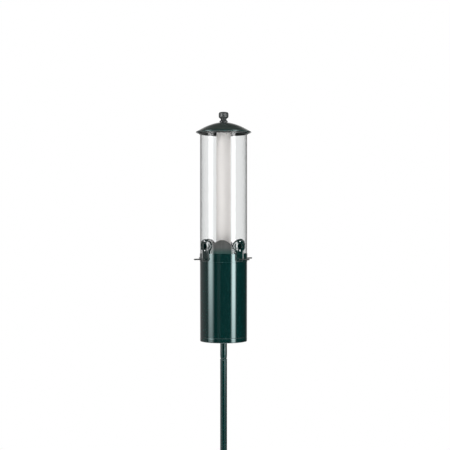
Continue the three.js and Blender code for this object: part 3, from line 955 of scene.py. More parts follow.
# ---------------------------------------------------------------- pole and spike
@dataclass(frozen=True)
class PoleStand:
    """Ground spike, step plate and the two pole sections.

    Args:
        wall: thickness of the pole's wall.
        neck: bare neck over a rim.
        rim_height: height of the flared rim.
        spike_radius: radius of the spike's rod.
        point: length of its point.
        fin_top: height of the fins' top.
        fin_middle: height at which their edge turns from upright to slanting.
        fin_bottom: height of their lower end.
        fin_tip: thickness of a fin's edge.
        fin_thickness: and of its root.
        fin_bevel: how far in it reaches its full thickness.
        step_corner: corner radius of the step plate.
    """

    wall: float = 1.5
    neck: float = 2.5
    rim_height: float = 4.0
    spike_radius: float = 8.0
    point: float = 35.0
    fin_top: float = -25.0
    fin_middle: float = -100.0
    fin_bottom: float = -175.0
    fin_tip: float = 1.0
    fin_thickness: float = 3.0
    fin_bevel: float = 3.0
    step_corner: float = 14.0

    def build(self) -> None:
        """Builds the stand from the ground up."""
        pipe = Extent.of("mounting_tube").radius
        self._spike(pipe - self.wall - GAP)
        self._step_plate(Extent.of("step_plate"))
        lower, upper = Extent.of("pole_lower"), Extent.of("pole_upper")
        low_profile = [(pipe - self.wall, lower.bottom, 0.3), (pipe, lower.bottom, 0.4)]
        fit_out("pole_lower", [turned(low_profile + self.rim(pipe, lower), 96)], GREEN_ENAMEL)
        fit_out("pole_upper", [turned(self.plugged(pipe, upper, lower.top, self.rim(pipe, upper)), 96)],
                GREEN_ENAMEL)

    def rim(self, pipe: float, section: Extent) -> list[tuple]:
        """The top of a section: its wall flares into a rolled rim.

        Args:
            pipe: the pipe's radius.
            section: the section's box.

        Returns:
            Corners of the profile from the outside up and over to the bore.
        """
        flare, bore = section.radius, pipe - self.wall
        return [(pipe, section.top - self.rim_height, 0.8), (flare, section.top - self.rim_height + 1.0, 0.5),
                (flare, section.top, 0.45), (bore, section.top, 0.5)]

    def plugged(self, pipe: float, section: Extent, below: float, top: list[tuple]) -> list[tuple]:
        """The profile of a pipe swaged at its foot: up outside from the plug, then down its bore.

        Args:
            pipe: the pipe's radius.
            section: the section's box.
            below: height of the rim that it plugs into.
            top: corners of its upper end.

        Returns:
            Corners of the closed profile.
        """
        plug = pipe - self.wall - GAP
        bore, shoulder = plug - self.wall, below + self.neck
        return [(bore, section.bottom, 0.2), (plug, section.bottom, 0.8), (plug, shoulder - 1.4, 0.8),
                (pipe, shoulder + 1.4, 1.2), *top, (pipe - self.wall, shoulder + 3, 1), (bore, shoulder, 1)]

    def _spike(self, plug: float) -> None:
        """The pointed rod with four tapered fins.

        Args:
            plug: radius of the plug that goes into the pole.
        """
        spike, step = Extent.of("ground_spike"), Extent.of("step_plate")
        radius, foot = self.spike_radius, step.top + GAP
        shaft = turned([(0, spike.bottom, 0), (1.2, spike.bottom + 2, 1.0),
                        (radius, spike.bottom + self.point, 4.0), (radius, foot, 0.3), (plug, foot, 0.3),
                        (plug, spike.top, 1.4), (0, spike.top, 0)], 64)
        half, top, bottom = spike.radius, self.fin_top, self.fin_bottom
        outline = soften([(0, bottom, 0), (half * 0.2, bottom, 4), (half, self.fin_middle, 6),
                          (half, top - half, 6), (half * 0.2, top, 4), (0, top, 0)], closed=False)
        fins = [self._fin(outline, quarter * 90.0) for quarter in range(4)]
        fit_out("ground_spike", [shaft, *fins], SPIKE_STEEL)

    def _fin(self, outline: np.ndarray, bearing: float) -> Surface:
        """One blade: |y| grows from the tip's half thickness at the edge to the root's over the bevel.

        Args:
            outline: (reach, height) of the blade's edge.
            bearing: degrees from the front.

        Returns:
            The surface.
        """
        loop = even_loop(outline, 120)
        inner = loop - self.fin_bevel * loop_normals(loop)
        inner[:, 0] = np.maximum(inner[:, 0], 0)
        centre = loop.mean(axis=0)
        sides = []
        for share, curve in ((1.0, loop), (1.0, inner), (0.5, inner), (0.0, inner)):
            half = (self.fin_tip if curve is loop else self.fin_thickness) / 2
            sides.append((centre + share * (curve - centre), half))
        rows = [(curve, -half) for curve, half in reversed(sides)] + list(sides)
        points = np.stack([np.column_stack([curve[:, 0], np.full(len(curve), depth), curve[:, 1]])
                           for curve, depth in rows])
        return Surface(turn_about_pole(points[::-1], bearing), wrap_rows=False)

    def _step_plate(self, plate: Extent) -> None:
        """A rounded plate with a bevelled edge round the spike.

        Args:
            plate: the step plate's box.
        """
        x, y, corner = plate.high[0], plate.high[1], self.step_corner
        corners = [(-x, -y, corner), (x, -y, corner), (x, y, corner), (-x, y, corner)]
        loop = even_loop(soften(corners, steps=14), 240)
        normal, low, high = loop_normals(loop), plate.bottom, plate.top
        edge = [(loop - inset * normal, height) for inset, height in (
            (0.6, low), (0.15, low + 0.2), (0, low + 0.7), (0, high - 1.0), (0.3, high - 0.3), (1.0, high),
            (1.6, high))]
        hole = [(star_circle(loop, (0, 0), radius), height) for radius, height in (
            (18, high), (10.2, high), (9.4, high), (8.6, high - 0.7), (8.6, low + 0.3), (8.9, low),
            (18, low))]
        fit_out("step_plate", [stacked(edge + hole)], GREEN_ENAMEL)


# ---------------------------------------------------------------- mounting under the feeder
@dataclass(frozen=True)
class Mounting:
    """Swaged stub, flange with its sleeve, and their bolts.

    Args:
        stand: the pole that the stub plugs into.
        sleeve_wall: wall of the flange's sleeve.
        plate: thickness of the flange.
        swell: how far the stub's swell stands over the plain pipe below and above it.
        bolt: radius of the clamp bolt, as of the flange screws.
        bolt_head: height of the clamp bolt's head.
        screw_head: height of a flange screw's head.
    """

    stand: PoleStand
    sleeve_wall: float = 2.7
    plate: float = 4.0
    swell: float = 0.3
    bolt: float = 2.5
    bolt_head: float = 3.2
    screw_head: float = 3.0

    def build(self) -> None:
        """Builds stub, flange and fastenings."""
        stub, pole, flange = Extent.of("mounting_tube"), Extent.of("pole_upper"), Extent.of("mounting_flange")
        pipe, bore = stub.radius, stub.radius - self.stand.wall
        top = [(pipe, stub.top, 0.4), (bore, stub.top, 0.3)]
        surface = turned(self.stand.plugged(pipe, stub, pole.top, top), 96, longest=3.0,
                         relief=self._swelling(pole.top + self.stand.neck, pipe - 0.5))
        fit_out("mounting_tube", [surface], GREEN_ENAMEL)
        self._flange(flange, stub)
        self._fastenings()

    def _swelling(self, shoulder: float, within: float) -> Callable:
        """A relief: a shallow groove over the shoulder, then a swell, then the plain pipe.

        Args:
            shoulder: height of the stub's shoulder.
            within: radius up to which nothing changes.

        Returns:
            The relief.
        """
        def relief(radius: np.ndarray, height: np.ndarray, angle: np.ndarray) -> np.ndarray:
            """-swell in the groove and half of it above the swell, on the outside."""
            above = height - shoulder
            groove = smoothstep(0, 2, above) * (1 - smoothstep(6, 10, above))
            return -self.swell * (groove + 0.5 * smoothstep(24, 31, above)) * (radius > within)
        return relief

    def _flange(self, flange: Extent, stub: Extent) -> None:
        """A disc over a sleeve, with a fillet between them.

        Args:
            flange: the flange's box.
            stub: the mounting tube's box.
        """
        sleeve_bore = stub.radius + GAP
        sleeve, plate, hole = sleeve_bore + self.sleeve_wall, flange.top - self.plate, ROD_BORE
        profile = [(hole, plate, 0.2), (sleeve_bore, plate, 0.3), (sleeve_bore, flange.bottom, 0.4),
                   (sleeve, flange.bottom, 0.6), (sleeve, plate, 4.0), (flange.radius, plate, 0.8),
                   (flange.radius, flange.top, 0.6), (hole, flange.top, 0.4)]
        fit_out("mounting_flange", [turned(profile, 192)], ZINC_STEEL)

    def _fastenings(self) -> None:
        """The clamp bolt across the sleeve, its nut, and the four flange screws."""
        bolt, nut = Extent.of("clamp_bolt"), Extent.of("clamp_nut")
        height, seat = float((bolt.low + bolt.high)[2] / 2), float(nut.high[0])
        head = float(bolt.high[2] - bolt.low[2]) / 2
        length = float(bolt.high[0] - bolt.low[0]) - self.bolt_head
        laid = facing_out(pan_screw(self.bolt, length, head, self.bolt_head), 90, height, -seat)
        fit_out("clamp_bolt", [laid], ZINC_STEEL)
        across = float(nut.high[1] - nut.low[1])
        thick = float(nut.high[0] - nut.low[0])
        standing = hex_nut(across * 0.87, thick, self.bolt + GAP)
        turned_nut = facing_out(standing, 270, height, -nut.low[0] - thick)
        fit_out("clamp_nut", [turned_nut], ZINC_STEEL)
        for number in range(1, 5):
            node = f"flange_screw_{number}"
            screw = Extent.of(node)
            centre, rise = (screw.low + screw.high) / 2, self.screw_head
            upright = pan_screw(self.bolt, screw.top - screw.bottom - rise, self.bolt * 1.8, rise)
            hanging = upright.moved(lambda p: p * np.array([1.0, -1.0, -1.0]))
            placed = shifted(hanging, centre[0], centre[1], screw.bottom + rise)
            fit_out(node, [placed], ZINC_STEEL)


# ---------------------------------------------------------------- drum
@dataclass(frozen=True)
class Drum:
    """Stovepipe baffle and the collar over it.

    Args:
        wall: thickness of the sheet.
        lip: width of the flange turned in at the top.
        hem_height: height of the rolled hem.
        hem_depth: depth of the hem.
        seam_width: width of the lock seam at the back.
        seam_rise: how far the lock seam stands out.
        groove: depth of the groove that the rolled hem leaves.
    """

    wall: float = 0.8
    lip: float = 18.0
    hem_height: float = 14.0
    hem_depth: float = 2.4
    seam_width: float = 8.0
    seam_rise: float = 0.5
    groove: float = 0.35

    def build(self) -> None:
        """Builds the baffle and the collar."""
        drum, collar = Extent.of("baffle"), Extent.of("collar")
        top, low, high = drum.radius, drum.bottom, drum.top
        foot = top - 0.6
        hem, inner = low + self.hem_height, foot - self.hem_depth
        under = high - self.wall
        profile = [(top, high, 0.25), (top - self.lip, high, 0.3), (top - self.lip, under, 0.3),
                   (top - self.wall, under, 0.6), (foot - self.wall, hem + 1, 0.4), (inner, hem, 0.4),
                   (inner, low + 1, 0.8), (foot - 1.2, low, 0.9), (foot, low + 1.5, 1.0),
                   (foot, hem - 1.2, 0.5), (foot - self.groove, hem, 0.6), (foot, hem + 1.2, 0.5)]
        fit_out("baffle", [turned(profile, self._angles(), longest=9.0, relief=self._seam(low, high))],
                GREEN_ENAMEL)
        bore = drum.radius
        edge = [(bore, collar.bottom, 0.2), (collar.radius, collar.bottom, 0.15),
                (collar.radius, collar.top, 0.35), (bore, collar.top, 0.2)]
        fit_out("collar", [turned(edge, 256, longest=4.0)], GREEN_ENAMEL)

    def _angles(self) -> np.ndarray:
        """Equal steps, with closer ones over the seam at the back.

        Returns:
            The angles in order, in radians.
        """
        seam = self.seam_width / 76.0
        fine = math.pi + np.linspace(-seam, seam, 33)
        coarse = around(240)
        return np.sort(np.r_[coarse[np.abs(coarse - math.pi) > seam * 1.05], fine])

    def _seam(self, low: float, high: float) -> Callable:
        """A relief for the lock seam, which dies out at both ends of the drum.

        Args:
            low: height of the drum's lower edge.
            high: height of its upper edge.

        Returns:
            The relief.
        """
        def relief(radius: np.ndarray, height: np.ndarray, angle: np.ndarray) -> np.ndarray:
            """seam_rise x (step at each side of the seam) x (step at each end)."""
            half = self.seam_width / 2
            across = np.abs(angle - math.pi) * radius
            ends = smoothstep(low + 1, low + 4, height) * (1 - smoothstep(high - 5, high - 1, height))
            outer = smoothstep(71.8, 72.6, radius)
            return self.seam_rise * (1 - smoothstep(half - 0.8, half, across)) * ends * outer
        return relief


# ---------------------------------------------------------------- base casting
@dataclass(frozen=True)
class FeederBase:
    """Base casting with its ring and lobes, and the cone that guides the seed.

    Args:
        floor: thickness of the casting's floor.
        tube_wall: thickness of the clear tube.
        ledge_width: width of the ledge that the seed tube stands on.
        ring_wall: thickness of the ring inside the tube.
        socket_wall: thickness of the socket that holds the core pipe.
        socket_height: its height over the floor.
        lobe_width: width of the lobe at front and back.
        fold: depth of the fold down the middle of a lobe.
        sheet: thickness of the cone.
        cone_rise: how far the cone rises over the collar.
    """

    floor: float = 4.0
    tube_wall: float = 3.0
    ledge_width: float = 14.2
    ring_wall: float = 2.0
    socket_wall: float = 2.5
    socket_height: float = 12.0
    lobe_width: float = 75.0
    fold: float = 1.3
    sheet: float = 2.0
    cone_rise: float = 9.0

    def build(self) -> None:
        """Builds the casting and the cone."""
        casting, tube, core = Extent.of("base_casting"), Extent.of("seed_tube"), Extent.of("core_tube")
        collar = Extent.of("collar")
        outer, low = tube.radius, casting.bottom
        ring_top = collar.top - 1
        ring_out, socket = outer - self.tube_wall - GAP, core.radius + GAP
        ring_in, ledge = ring_out - self.ring_wall, tube.bottom - GAP
        floor = low + self.floor
        socket_top = floor + self.socket_height
        profile = [(ROD_BORE, low, 0.3), (outer, low, 0.6), (outer, ledge, 0.4), (ring_out, ledge, 0.2),
                   (ring_out, ring_top, 0.7), (ring_in, ring_top, 0.7), (ring_in, ledge, 1.0),
                   (outer - self.ledge_width, ledge, 0.8), (outer - self.ledge_width, floor, 2.0),
                   (socket + self.socket_wall, floor, 1.2), (socket + self.socket_wall, socket_top, 0.6),
                   (socket, socket_top, 0.6),
                   (socket, floor, 0.4), (ROD_BORE, floor, 0.3)]
        body = turned(profile, self._angles(ring_out), longest=1.6)
        lifted = body.moved(lambda p: self._lobes(p, ledge, ring_top, casting.top - ring_top, ring_in - 1))
        fit_out("base_casting", [lifted], GREEN_CASTING)
        foot, edge, nose = ring_in - 0.5, collar.top, collar.top + self.cone_rise
        cone = [(foot - self.sheet, ledge + GAP, 0.3), (foot, ledge + GAP, 0.3), (foot, edge, 1.6),
                (socket, nose, 0.5), (socket, nose - self.sheet, 0.4),
                (foot - self.sheet, edge - self.sheet, 1.0)]
        fit_out("seed_cone", [turned(cone, 192, longest=6.0)], GREEN_MOULDING)

    def _angles(self, radius: float) -> np.ndarray:
        """Angles t with sin t = (half width / r) sin s over each lobe, and equal steps between them.

        Args:
            radius: outer radius of the ring.

        Returns:
            The angles in order, in radians.
        """
        end = math.asin(self.lobe_width / 2 / radius)
        over = np.arcsin(self.lobe_width / 2 / radius * np.sin(np.linspace(-math.pi / 2, math.pi / 2, 73)))
        between = np.linspace(end, math.pi - end, 60)[1:-1]
        half = np.r_[over, between]
        return np.sort(np.r_[half, half + math.pi] % TURN)

    def _lobes(self, points: np.ndarray, ledge: float, ring_top: float, rise: float, within: float
               ) -> np.ndarray:
        """Lifts the ring by rise sqrt(1 - (x / half width)^2), in proportion to the height over the ledge.

        A fold exp(-(x / 2.4)^2) deep runs up the outside in the middle.

        Args:
            points: the casting's points.
            ledge: height of the ledge.
            ring_top: height of the ring's top.
            rise: height of a lobe over the ring.
            within: radius inside which nothing changes.

        Returns:
            The points lifted.
        """
        x, y, z = points[..., 0], points[..., 1], points[..., 2]
        radius = np.hypot(x, y)
        across = x / radius * (within + 1 + self.ring_wall)
        arch = rise * np.sqrt(np.maximum(1 - (across / (self.lobe_width / 2)) ** 2, 0))
        share = np.clip((z - ledge) / (ring_top - 1.0 - ledge), 0, 1) * (radius > within)
        outside = share * (radius > within + 1 + self.ring_wall / 2)
        drawn = 1 - self.fold * np.exp(-(across / 2.4) ** 2) * outside / radius
        return np.stack([x * drawn, y * drawn, z + arch * share], axis=-1)


# ---------------------------------------------------------------- seed tube and core
@dataclass(frozen=True)
class SeedStore:
    """Clear seed tube with its four feed holes, the core pipe, its cap and the tie rod.

    Args:
        wall: thickness of the clear tube.
        hole: radius of a feed hole.
        hole_height: height of its middle above the collar.
        band: height above the collar of the wall that holds the feed holes.
        steps: columns of a quarter of the tube.
        core_wall: thickness of the core pipe.
        pitch: pitch of the rod's thread.
        thread: and its depth.
    """

    wall: float = 3.0
    hole: float = 10.25
    hole_height: float = 24.0
    band: float = 60.0
    steps: int = 64
    core_wall: float = 2.5
    pitch: float = 1.25
    thread: float = 0.55

    def build(self) -> None:
        """Builds the tube, the core and the rod."""
        tube, rim = Extent.of("seed_tube"), Extent.of("collar").top
        outer, inner = tube.radius, tube.radius - self.wall
        split, low, high = rim + self.band, tube.bottom, tube.top
        upper = refine(soften([(outer, split, 0), (outer, high, 0.5), (inner, high, 0.5), (inner, split, 0)],
                              closed=False), 16.0, closed=False)
        angle = around(4 * self.steps)[None, :] + math.pi / 4
        surfaces = [self._swept(upper, angle), self._swept(np.array([(inner, low), (outer, low)]), angle)]
        for number in range(1, 5):
            bearing = Extent.of(f"port_{number}").bearing
            surfaces.append(self._quarter(outer, inner, low, split, rim + self.hole_height, bearing))
        fit_out("seed_tube", surfaces, CLEAR_TUBE)
        self._core()

    def _swept(self, profile: np.ndarray, angle: np.ndarray) -> Surface:
        """An open profile turned about the pole.

        Args:
            profile: array of points by (radius, height).
            angle: the angles, as a row.

        Returns:
            The surface.
        """
        radius, height = profile[:, :1], np.repeat(profile[:, 1:], angle.size, axis=1)
        points = np.stack([radius * np.sin(angle), -radius * np.cos(angle), height], axis=-1)
        return Surface(points, wrap_rows=False)

    def _quarter(self, outer: float, inner: float, low: float, high: float, middle: float, bearing: float
                 ) -> Surface:
        """A quarter of the wall round one feed hole.

        Drawn flat, in lengths of arc a = r t, a row is (1 - s) frame + s circle, where the frame is the
        quarter's outline and s eases towards the hole; rows go in along the outside and back along the
        inside.

        Args:
            outer: outer radius of the wall.
            inner: inner radius.
            low: height of its lower edge.
            high: and of its upper edge.
            middle: height of the hole's middle.
            bearing: degrees from the front.

        Returns:
            The surface.
        """
        half, rise = outer * math.pi / 4, 22
        across, upright = np.linspace(-half, half, self.steps + 1), np.linspace(low, high, rise + 1)
        edge = np.vstack([
            np.column_stack([across[:-1], np.full(self.steps, low)]),
            np.column_stack([np.full(rise, half), upright[:-1]]),
            np.column_stack([across[:0:-1], np.full(self.steps, high)]),
            np.column_stack([np.full(rise, -half), upright[:0:-1]])])
        hole = star_circle(edge, (0, middle), self.hole)
        share = (1 - (1 - np.linspace(0, 1, 19)) ** 1.5)[:, None, None]
        rows = (1 - share) * edge + share * hole
        flat = np.concatenate([rows, rows[::-1]])
        reach = np.r_[np.full(len(rows), outer), np.full(len(rows), inner)][:, None]
        angle = flat[..., 0] / outer
        points = np.stack([reach * np.sin(angle), -reach * np.cos(angle), flat[..., 1]], axis=-1)
        return Surface(turn_about_pole(points, bearing), wrap_rows=False)

    def _core(self) -> None:
        """The core pipe, its cap and the rod that ties the feeder together."""
        core, cap, rod = Extent.of("core_tube"), Extent.of("core_cap"), Extent.of("tie_rod")
        bore = core.radius - self.core_wall
        fit_out("core_tube", [turned(ring(bore, core.radius, core.bottom, core.top, 0.5), 128)],
                GREY_PIPE)
        seat, dish = core.top + GAP, cap.top - 0.8
        profile = [(ROD_BORE, cap.bottom, 0.3), (bore - GAP, cap.bottom, 0.8), (bore - GAP, seat, 0.3),
                   (cap.radius, seat, 0.4), (cap.radius, cap.top, 1.2), (15, cap.top, 0.6), (14, dish, 0.6),
                   (ROD_BORE, dish, 0.3)]
        fit_out("core_cap", [turned(profile, 128)], GREY_PIPE)
        self._rod(rod, Extent.of("tie_nut_lower"), Extent.of("tie_nut_upper"))

    def _rod(self, rod: Extent, lower: Extent, upper: Extent) -> None:
        """A rod with a thread at each end, and its two nuts.

        Args:
            rod: the rod's box.
            lower: the lower nut's box.
            upper: the upper nut's box.
        """
        ends = [(0, rod.bottom, 0), (rod.radius, rod.bottom, 0.8), (rod.radius, lower.top + 4, 0)]
        rest = [(rod.radius, upper.bottom - 4, 0), (rod.radius, rod.top, 0.8), (0, rod.top, 0)]

        def thread(radius: np.ndarray, height: np.ndarray, angle: np.ndarray) -> np.ndarray:
            """-thread |2 frac(z / pitch - t / turn) - 1| on the two threaded stretches."""
            wave = np.abs(2 * ((height / self.pitch - angle / TURN) % 1) - 1)
            cut = (height > upper.bottom - 3) | (height < lower.top + 3)
            return -self.thread * wave * cut * (radius > rod.radius * 0.7)
        profile = refine(soften(ends + rest, closed=False), 0.3, closed=False)
        plain = (profile[:, 1] > lower.top + 4.2) & (profile[:, 1] < upper.bottom - 4.2)
        profile = profile[~plain]
        turned_rod = turned([(*point, 0) for point in profile], 32, longest=1000.0, relief=thread)
        fit_out("tie_rod", [turned_rod], ZINC_STEEL, crease=180)
        for node, nut in (("tie_nut_lower", lower), ("tie_nut_upper", upper)):
            across = float(nut.high[1] - nut.low[1])
            surface = hex_nut(across, nut.top - nut.bottom, rod.radius + GAP)
            fit_out(node, [shifted(surface, z=nut.bottom)], ZINC_STEEL)


# ---------------------------------------------------------------- feeding ports
@dataclass(frozen=True)
class FeedingPort:
    """One feeding port: plate, hood, perch and two screws.

    Args:
        number: which port.
        tube_wall: thickness of the clear tube.
        neck: half width of the plate's neck.
        half: half width at its widest.
        widest: height of the widest place above the collar.
        neck_top: height where the neck starts to widen.
        crown: height of the plate's top above the collar.
        corner: corner radius at the foot.
        feed: radius of the feed hole.
        feed_height: height of its middle above the collar.
        lip: wall of the sleeve that lines the hole.
        screws: heights of the lower and upper screw above the collar.
        boss: radius of the pad under a screw.
        fall: how much further the face falls away round the lip than over the collar.
        bend: radius that the plate's face is bent to.
        relief: how far the plate stands out of the collar.
        hood_wall: thickness of the hood's scoop.
        hood_plate: and of its plate.
        hood_depth: how far the scoop reaches in from the tube.
        perch_reach: how far the perch reaches out of the collar.
        shank: radius of a screw's shank.
        head: radius of its head.
        head_rise: height of its head.
    """

    number: int
    tube_wall: float = 3.0
    neck: float = 17.0
    half: float = 26.5
    widest: float = 23.0
    neck_top: float = 5.0
    crown: float = 47.0
    corner: float = 6.0
    feed: float = 8.75
    feed_height: float = 24.0
    lip: float = 1.2
    screws: tuple[float, float] = (10.5, 41.0)
    boss: float = 3.3
    fall: float = 0.9
    bend: float = 170.0
    relief: float = 2.1
    hood_wall: float = 1.5
    hood_plate: float = 1.7
    hood_depth: float = 13.0
    perch_reach: float = 47.0
    shank: float = 1.5
    head: float = 2.6
    head_rise: float = 1.7

    def build(self) -> None:
        """Builds the port's pieces."""
        rim, tube = Extent.of("collar"), Extent.of("seed_tube")
        bearing = Extent.of(f"perch_{self.number}").bearing
        self._plate(rim, tube, bearing)
        self._hood(rim, tube, bearing)
        self._perch(rim, tube, bearing)
        self._screws(rim, tube, bearing)

    def _outline(self, low: float, count: int = 200) -> np.ndarray:
        """The plate's outline above the collar's rim.

        Right half from the foot up: foot, corner arc, neck, a cubic curve with upright ends out to the widest
        place, and a quarter of an ellipse to the crown. The left half mirrors it.

        Args:
            low: height of the plate's foot.
            count: how many points.

        Returns:
            Loop of (across, height).
        """
        turn = np.linspace(0, math.pi / 2, 12)
        arc = np.column_stack([self.neck - self.corner * (1 - np.sin(turn)),
                               low + self.corner * (1 - np.cos(turn))])
        swell = 0.45 * (self.widest - self.neck_top)
        pull = np.array([(self.neck, self.neck_top), (self.neck, self.neck_top + swell),
                         (self.half, self.widest - swell), (self.half, self.widest)])
        share = np.linspace(0, 1, 24)[:, None]
        weights = np.hstack([(1 - share) ** 3, 3 * share * (1 - share) ** 2, 3 * share ** 2 * (1 - share),
                             share ** 3])
        sweep = np.linspace(0, math.pi / 2, 40)
        crown = np.column_stack([self.half * np.cos(sweep),
                                 self.widest + (self.crown - self.widest) * np.sin(sweep)])
        right = np.vstack([[(0, low)], arc, weights @ pull, crown[1:]])
        left = right[-2:0:-1] * np.array([-1, 1])
        return even_loop(np.vstack([right, left]), count)

    def _plate(self, rim: Extent, tube: Extent, bearing: float) -> None:
        """A beaded plate hugging the tube, dished round a raised lip, with a sleeve through the tube.

        Args:
            rim: the collar's box.
            tube: the seed tube's box.
            bearing: degrees from the front.
        """
        outline = self._outline(rim.bottom + 2 - rim.top)
        normal, centre = loop_normals(outline), (0, self.feed_height)
        front, wall = rim.radius + self.relief, tube.radius + GAP
        back = np.where(outline[:, 1] > GAP, wall, rim.radius + GAP)
        sleeve = tube.radius - 2.4

        def inset(step: float) -> np.ndarray:
            """The outline moved inwards."""
            return outline - step * normal

        def hole(growth: float) -> np.ndarray:
            """The feed hole grown by a step."""
            return star_circle(outline, centre, self.feed + growth)

        def between(share: float) -> np.ndarray:
            """A loop between the lip and the bead."""
            return (1 - share) * hole(2.6) + share * inset(4.2)

        def face(curve: np.ndarray, depth: float, share: float = 1.0) -> tuple[np.ndarray, np.ndarray]:
            """A loop on the face, sunk by the fall of the dish above the collar."""
            return curve, front - depth - share * self.fall * smoothstep(6, 20, curve[:, 1])
        loops = [
            (inset(0.1), back), face(outline, 1.2), face(outline, 0.9), face(inset(0.15), 0.5),
            face(inset(0.6), 0.12), face(inset(1.2), 0), face(inset(1.8), 0.12), face(inset(2.4), 0.4),
            face(inset(3.0), 0.75), face(inset(3.5), 0.95), face(inset(4.2), 1.05), face(between(0.85), 1.08),
            face(between(0.7), 1.05, 0.85), face(between(0.5), 0.95, 0.6), face(between(0.3), 0.75, 0.3),
            face(between(0.12), 0.5, 0.1), face(hole(2.2), 0.25, 0), face(hole(1.5), 0.08, 0),
            face(hole(1.0), 0, 0), face(hole(0.6), 0.05, 0), face(hole(0.25), 0.25, 0),
            face(hole(0.05), 0.6, 0),
            (hole(0), front - 1.0), (hole(0), sleeve + 0.4),
            (hole(0.2), sleeve), (hole(self.lip - 0.2), sleeve), (hole(self.lip), sleeve + 0.4),
            (hole(self.lip), wall - 0.3), (hole(self.lip + 0.3), wall),
            (between(0.5), np.maximum(back, wall)),
        ]
        lift = np.array([0, rim.top])
        placed = [(curve + lift, self._flatter(curve, reach, wall)) for curve, reach in loops]
        pads = [self._pad(self.boss, front - 3, front + 0.2, bearing, rim.top + height)
                for height in self.screws]
        perch = Extent.of(f"perch_{self.number}")
        pads.append(self._pad(4.6, front - 3, front + 0.7, bearing, (perch.bottom + perch.top) / 2))
        fit_out(f"port_{self.number}", [laid_on_drum(placed, bearing), *pads],
                GREEN_MOULDING)

    def _flatter(self, curve: np.ndarray, reach: Union[float, np.ndarray], wall: float) -> np.ndarray:
        """Reach of a plate bent less than the tube: hypot(reach - x^2 / 2 bend, x), for layers off the wall.

        Args:
            curve: the layer, as (across, height).
            reach: its reach on the tube.
            wall: reach of the plate's back.

        Returns:
            The reach of each point.
        """
        flat = np.hypot(reach - curve[:, 0] ** 2 / (2 * self.bend), curve[:, 0])
        return np.where(np.asarray(reach) > wall + 1.2, flat, reach)

    def _pad(self, radius: float, low: float, high: float, bearing: float, height: float) -> Surface:
        """A round pad standing on the plate.

        Args:
            radius: its radius.
            low: reach of its foot.
            high: reach of its face.
            bearing: degrees from the front.
            height: height of its middle.

        Returns:
            The surface.
        """
        profile = [(0, low, 0), (radius + 0.3, low, 0), (radius, high, 0.4), (0, high, 0)]
        return facing_out(turned(profile, 48, longest=1.5), bearing, height)

    def _hood(self, rim: Extent, tube: Extent, bearing: float) -> None:
        """A plate inside the tube with a scoop that is open below.

        Args:
            rim: the collar's box.
            tube: the seed tube's box.
            bearing: degrees from the front.
        """
        opening, wall = self.feed + self.lip + GAP, self.hood_wall
        outer, face = opening + wall, tube.radius - self.tube_wall - GAP
        back, inner = face - self.hood_plate, tube.radius - self.tube_wall - self.hood_depth
        middle = sum(self.screws) / 2
        turn = around(200) - math.pi / 2
        rise = (self.screws[1] - self.screws[0]) / 2 + 4.75
        plate = np.column_stack([(outer + 3.75) * np.cos(turn), middle + rise * np.sin(turn)])
        normal = loop_normals(plate)
        mouth = self._mouth(plate, opening)
        bevelled, middle_way = plate - 0.4 * normal, (plate + mouth) / 2
        loops = [(bevelled, back), (plate, back + 0.4), (plate, face - 0.4), (bevelled, face),
                 (middle_way, face), (mouth, face), (mouth, back), (middle_way, back)]
        placed = [(curve + np.array([0, rim.top]), reach) for curve, reach in loops]
        scoop = self._scoop(opening, outer, face - 0.6, inner, wall, rim.top + self.feed_height, bearing)
        fit_out(f"port_hood_{self.number}", [laid_on_drum(placed, bearing), *scoop],
                GREEN_MOULDING)

    def _mouth(self, plate: np.ndarray, opening: float) -> np.ndarray:
        """The square mouth, with a point in the direction of each point of the plate's outline.

        Args:
            plate: the plate's outline.
            opening: half width of the mouth.

        Returns:
            The loop of the mouth.
        """
        away = plate - np.array([0, self.feed_height])
        return np.array([0, self.feed_height]) + opening * away / np.abs(away).max(axis=1, keepdims=True)

    def _scoop(self, opening: float, outer: float, front: float, back: float, wall: float, height: float,
               bearing: float) -> list[Surface]:
        """An arch carried inwards and closed at the back, outside and inside, with strips along its two feet.

        Args:
            opening: half width of the mouth.
            outer: half width outside.
            front: reach where the scoop starts.
            back: reach of its closed end.
            wall: its thickness.
            height: height of the mouth's middle.
            bearing: degrees from the front.

        Returns:
            The scoop and the strips.
        """
        outside = soften([(-outer, -opening, 0), (-outer, outer, 7), (outer, outer, 7), (outer, -opening, 0)],
                         closed=False, steps=9)
        inside = soften([(-opening, -opening, 0), (-opening, opening, 5.5), (opening, opening, 5.5),
                         (opening, -opening, 0)], closed=False, steps=9)
        foot = np.array([0, -opening])

        def row(curve: np.ndarray, share: float, reach: float) -> np.ndarray:
            """The arch drawn in towards the middle of its foot, at a reach."""
            shrunk = foot + share * (curve - foot)
            return np.column_stack([shrunk[:, 0], np.full(len(curve), -reach), shrunk[:, 1] + height])
        outward = [row(outside, 0.0, back), row(outside, 0.5, back), row(outside, 0.9, back),
                   row(outside, 0.97, back + 0.4), row(outside, 1.0, back + 1.6), row(outside, 1.0, front)]
        inward = [row(inside, 1.0, front), row(inside, 1.0, back + wall + 1.2),
                  row(inside, 0.96, back + wall + 0.3), row(inside, 0.88, back + wall),
                  row(inside, 0.5, back + wall), row(inside, 0.0, back + wall)]
        shell = np.stack(outward + inward)
        half = len(outward)
        strips = [np.stack([shell[:half, edge], shell[::-1][:half, edge]], axis=1) for edge in (0, -1)]
        strips[0] = strips[0][:, ::-1]
        surfaces = [Surface(shell, False, False)] + [Surface(strip, False, False) for strip in strips]
        return [surface.moved(lambda p: turn_about_pole(p, bearing)) for surface in surfaces]

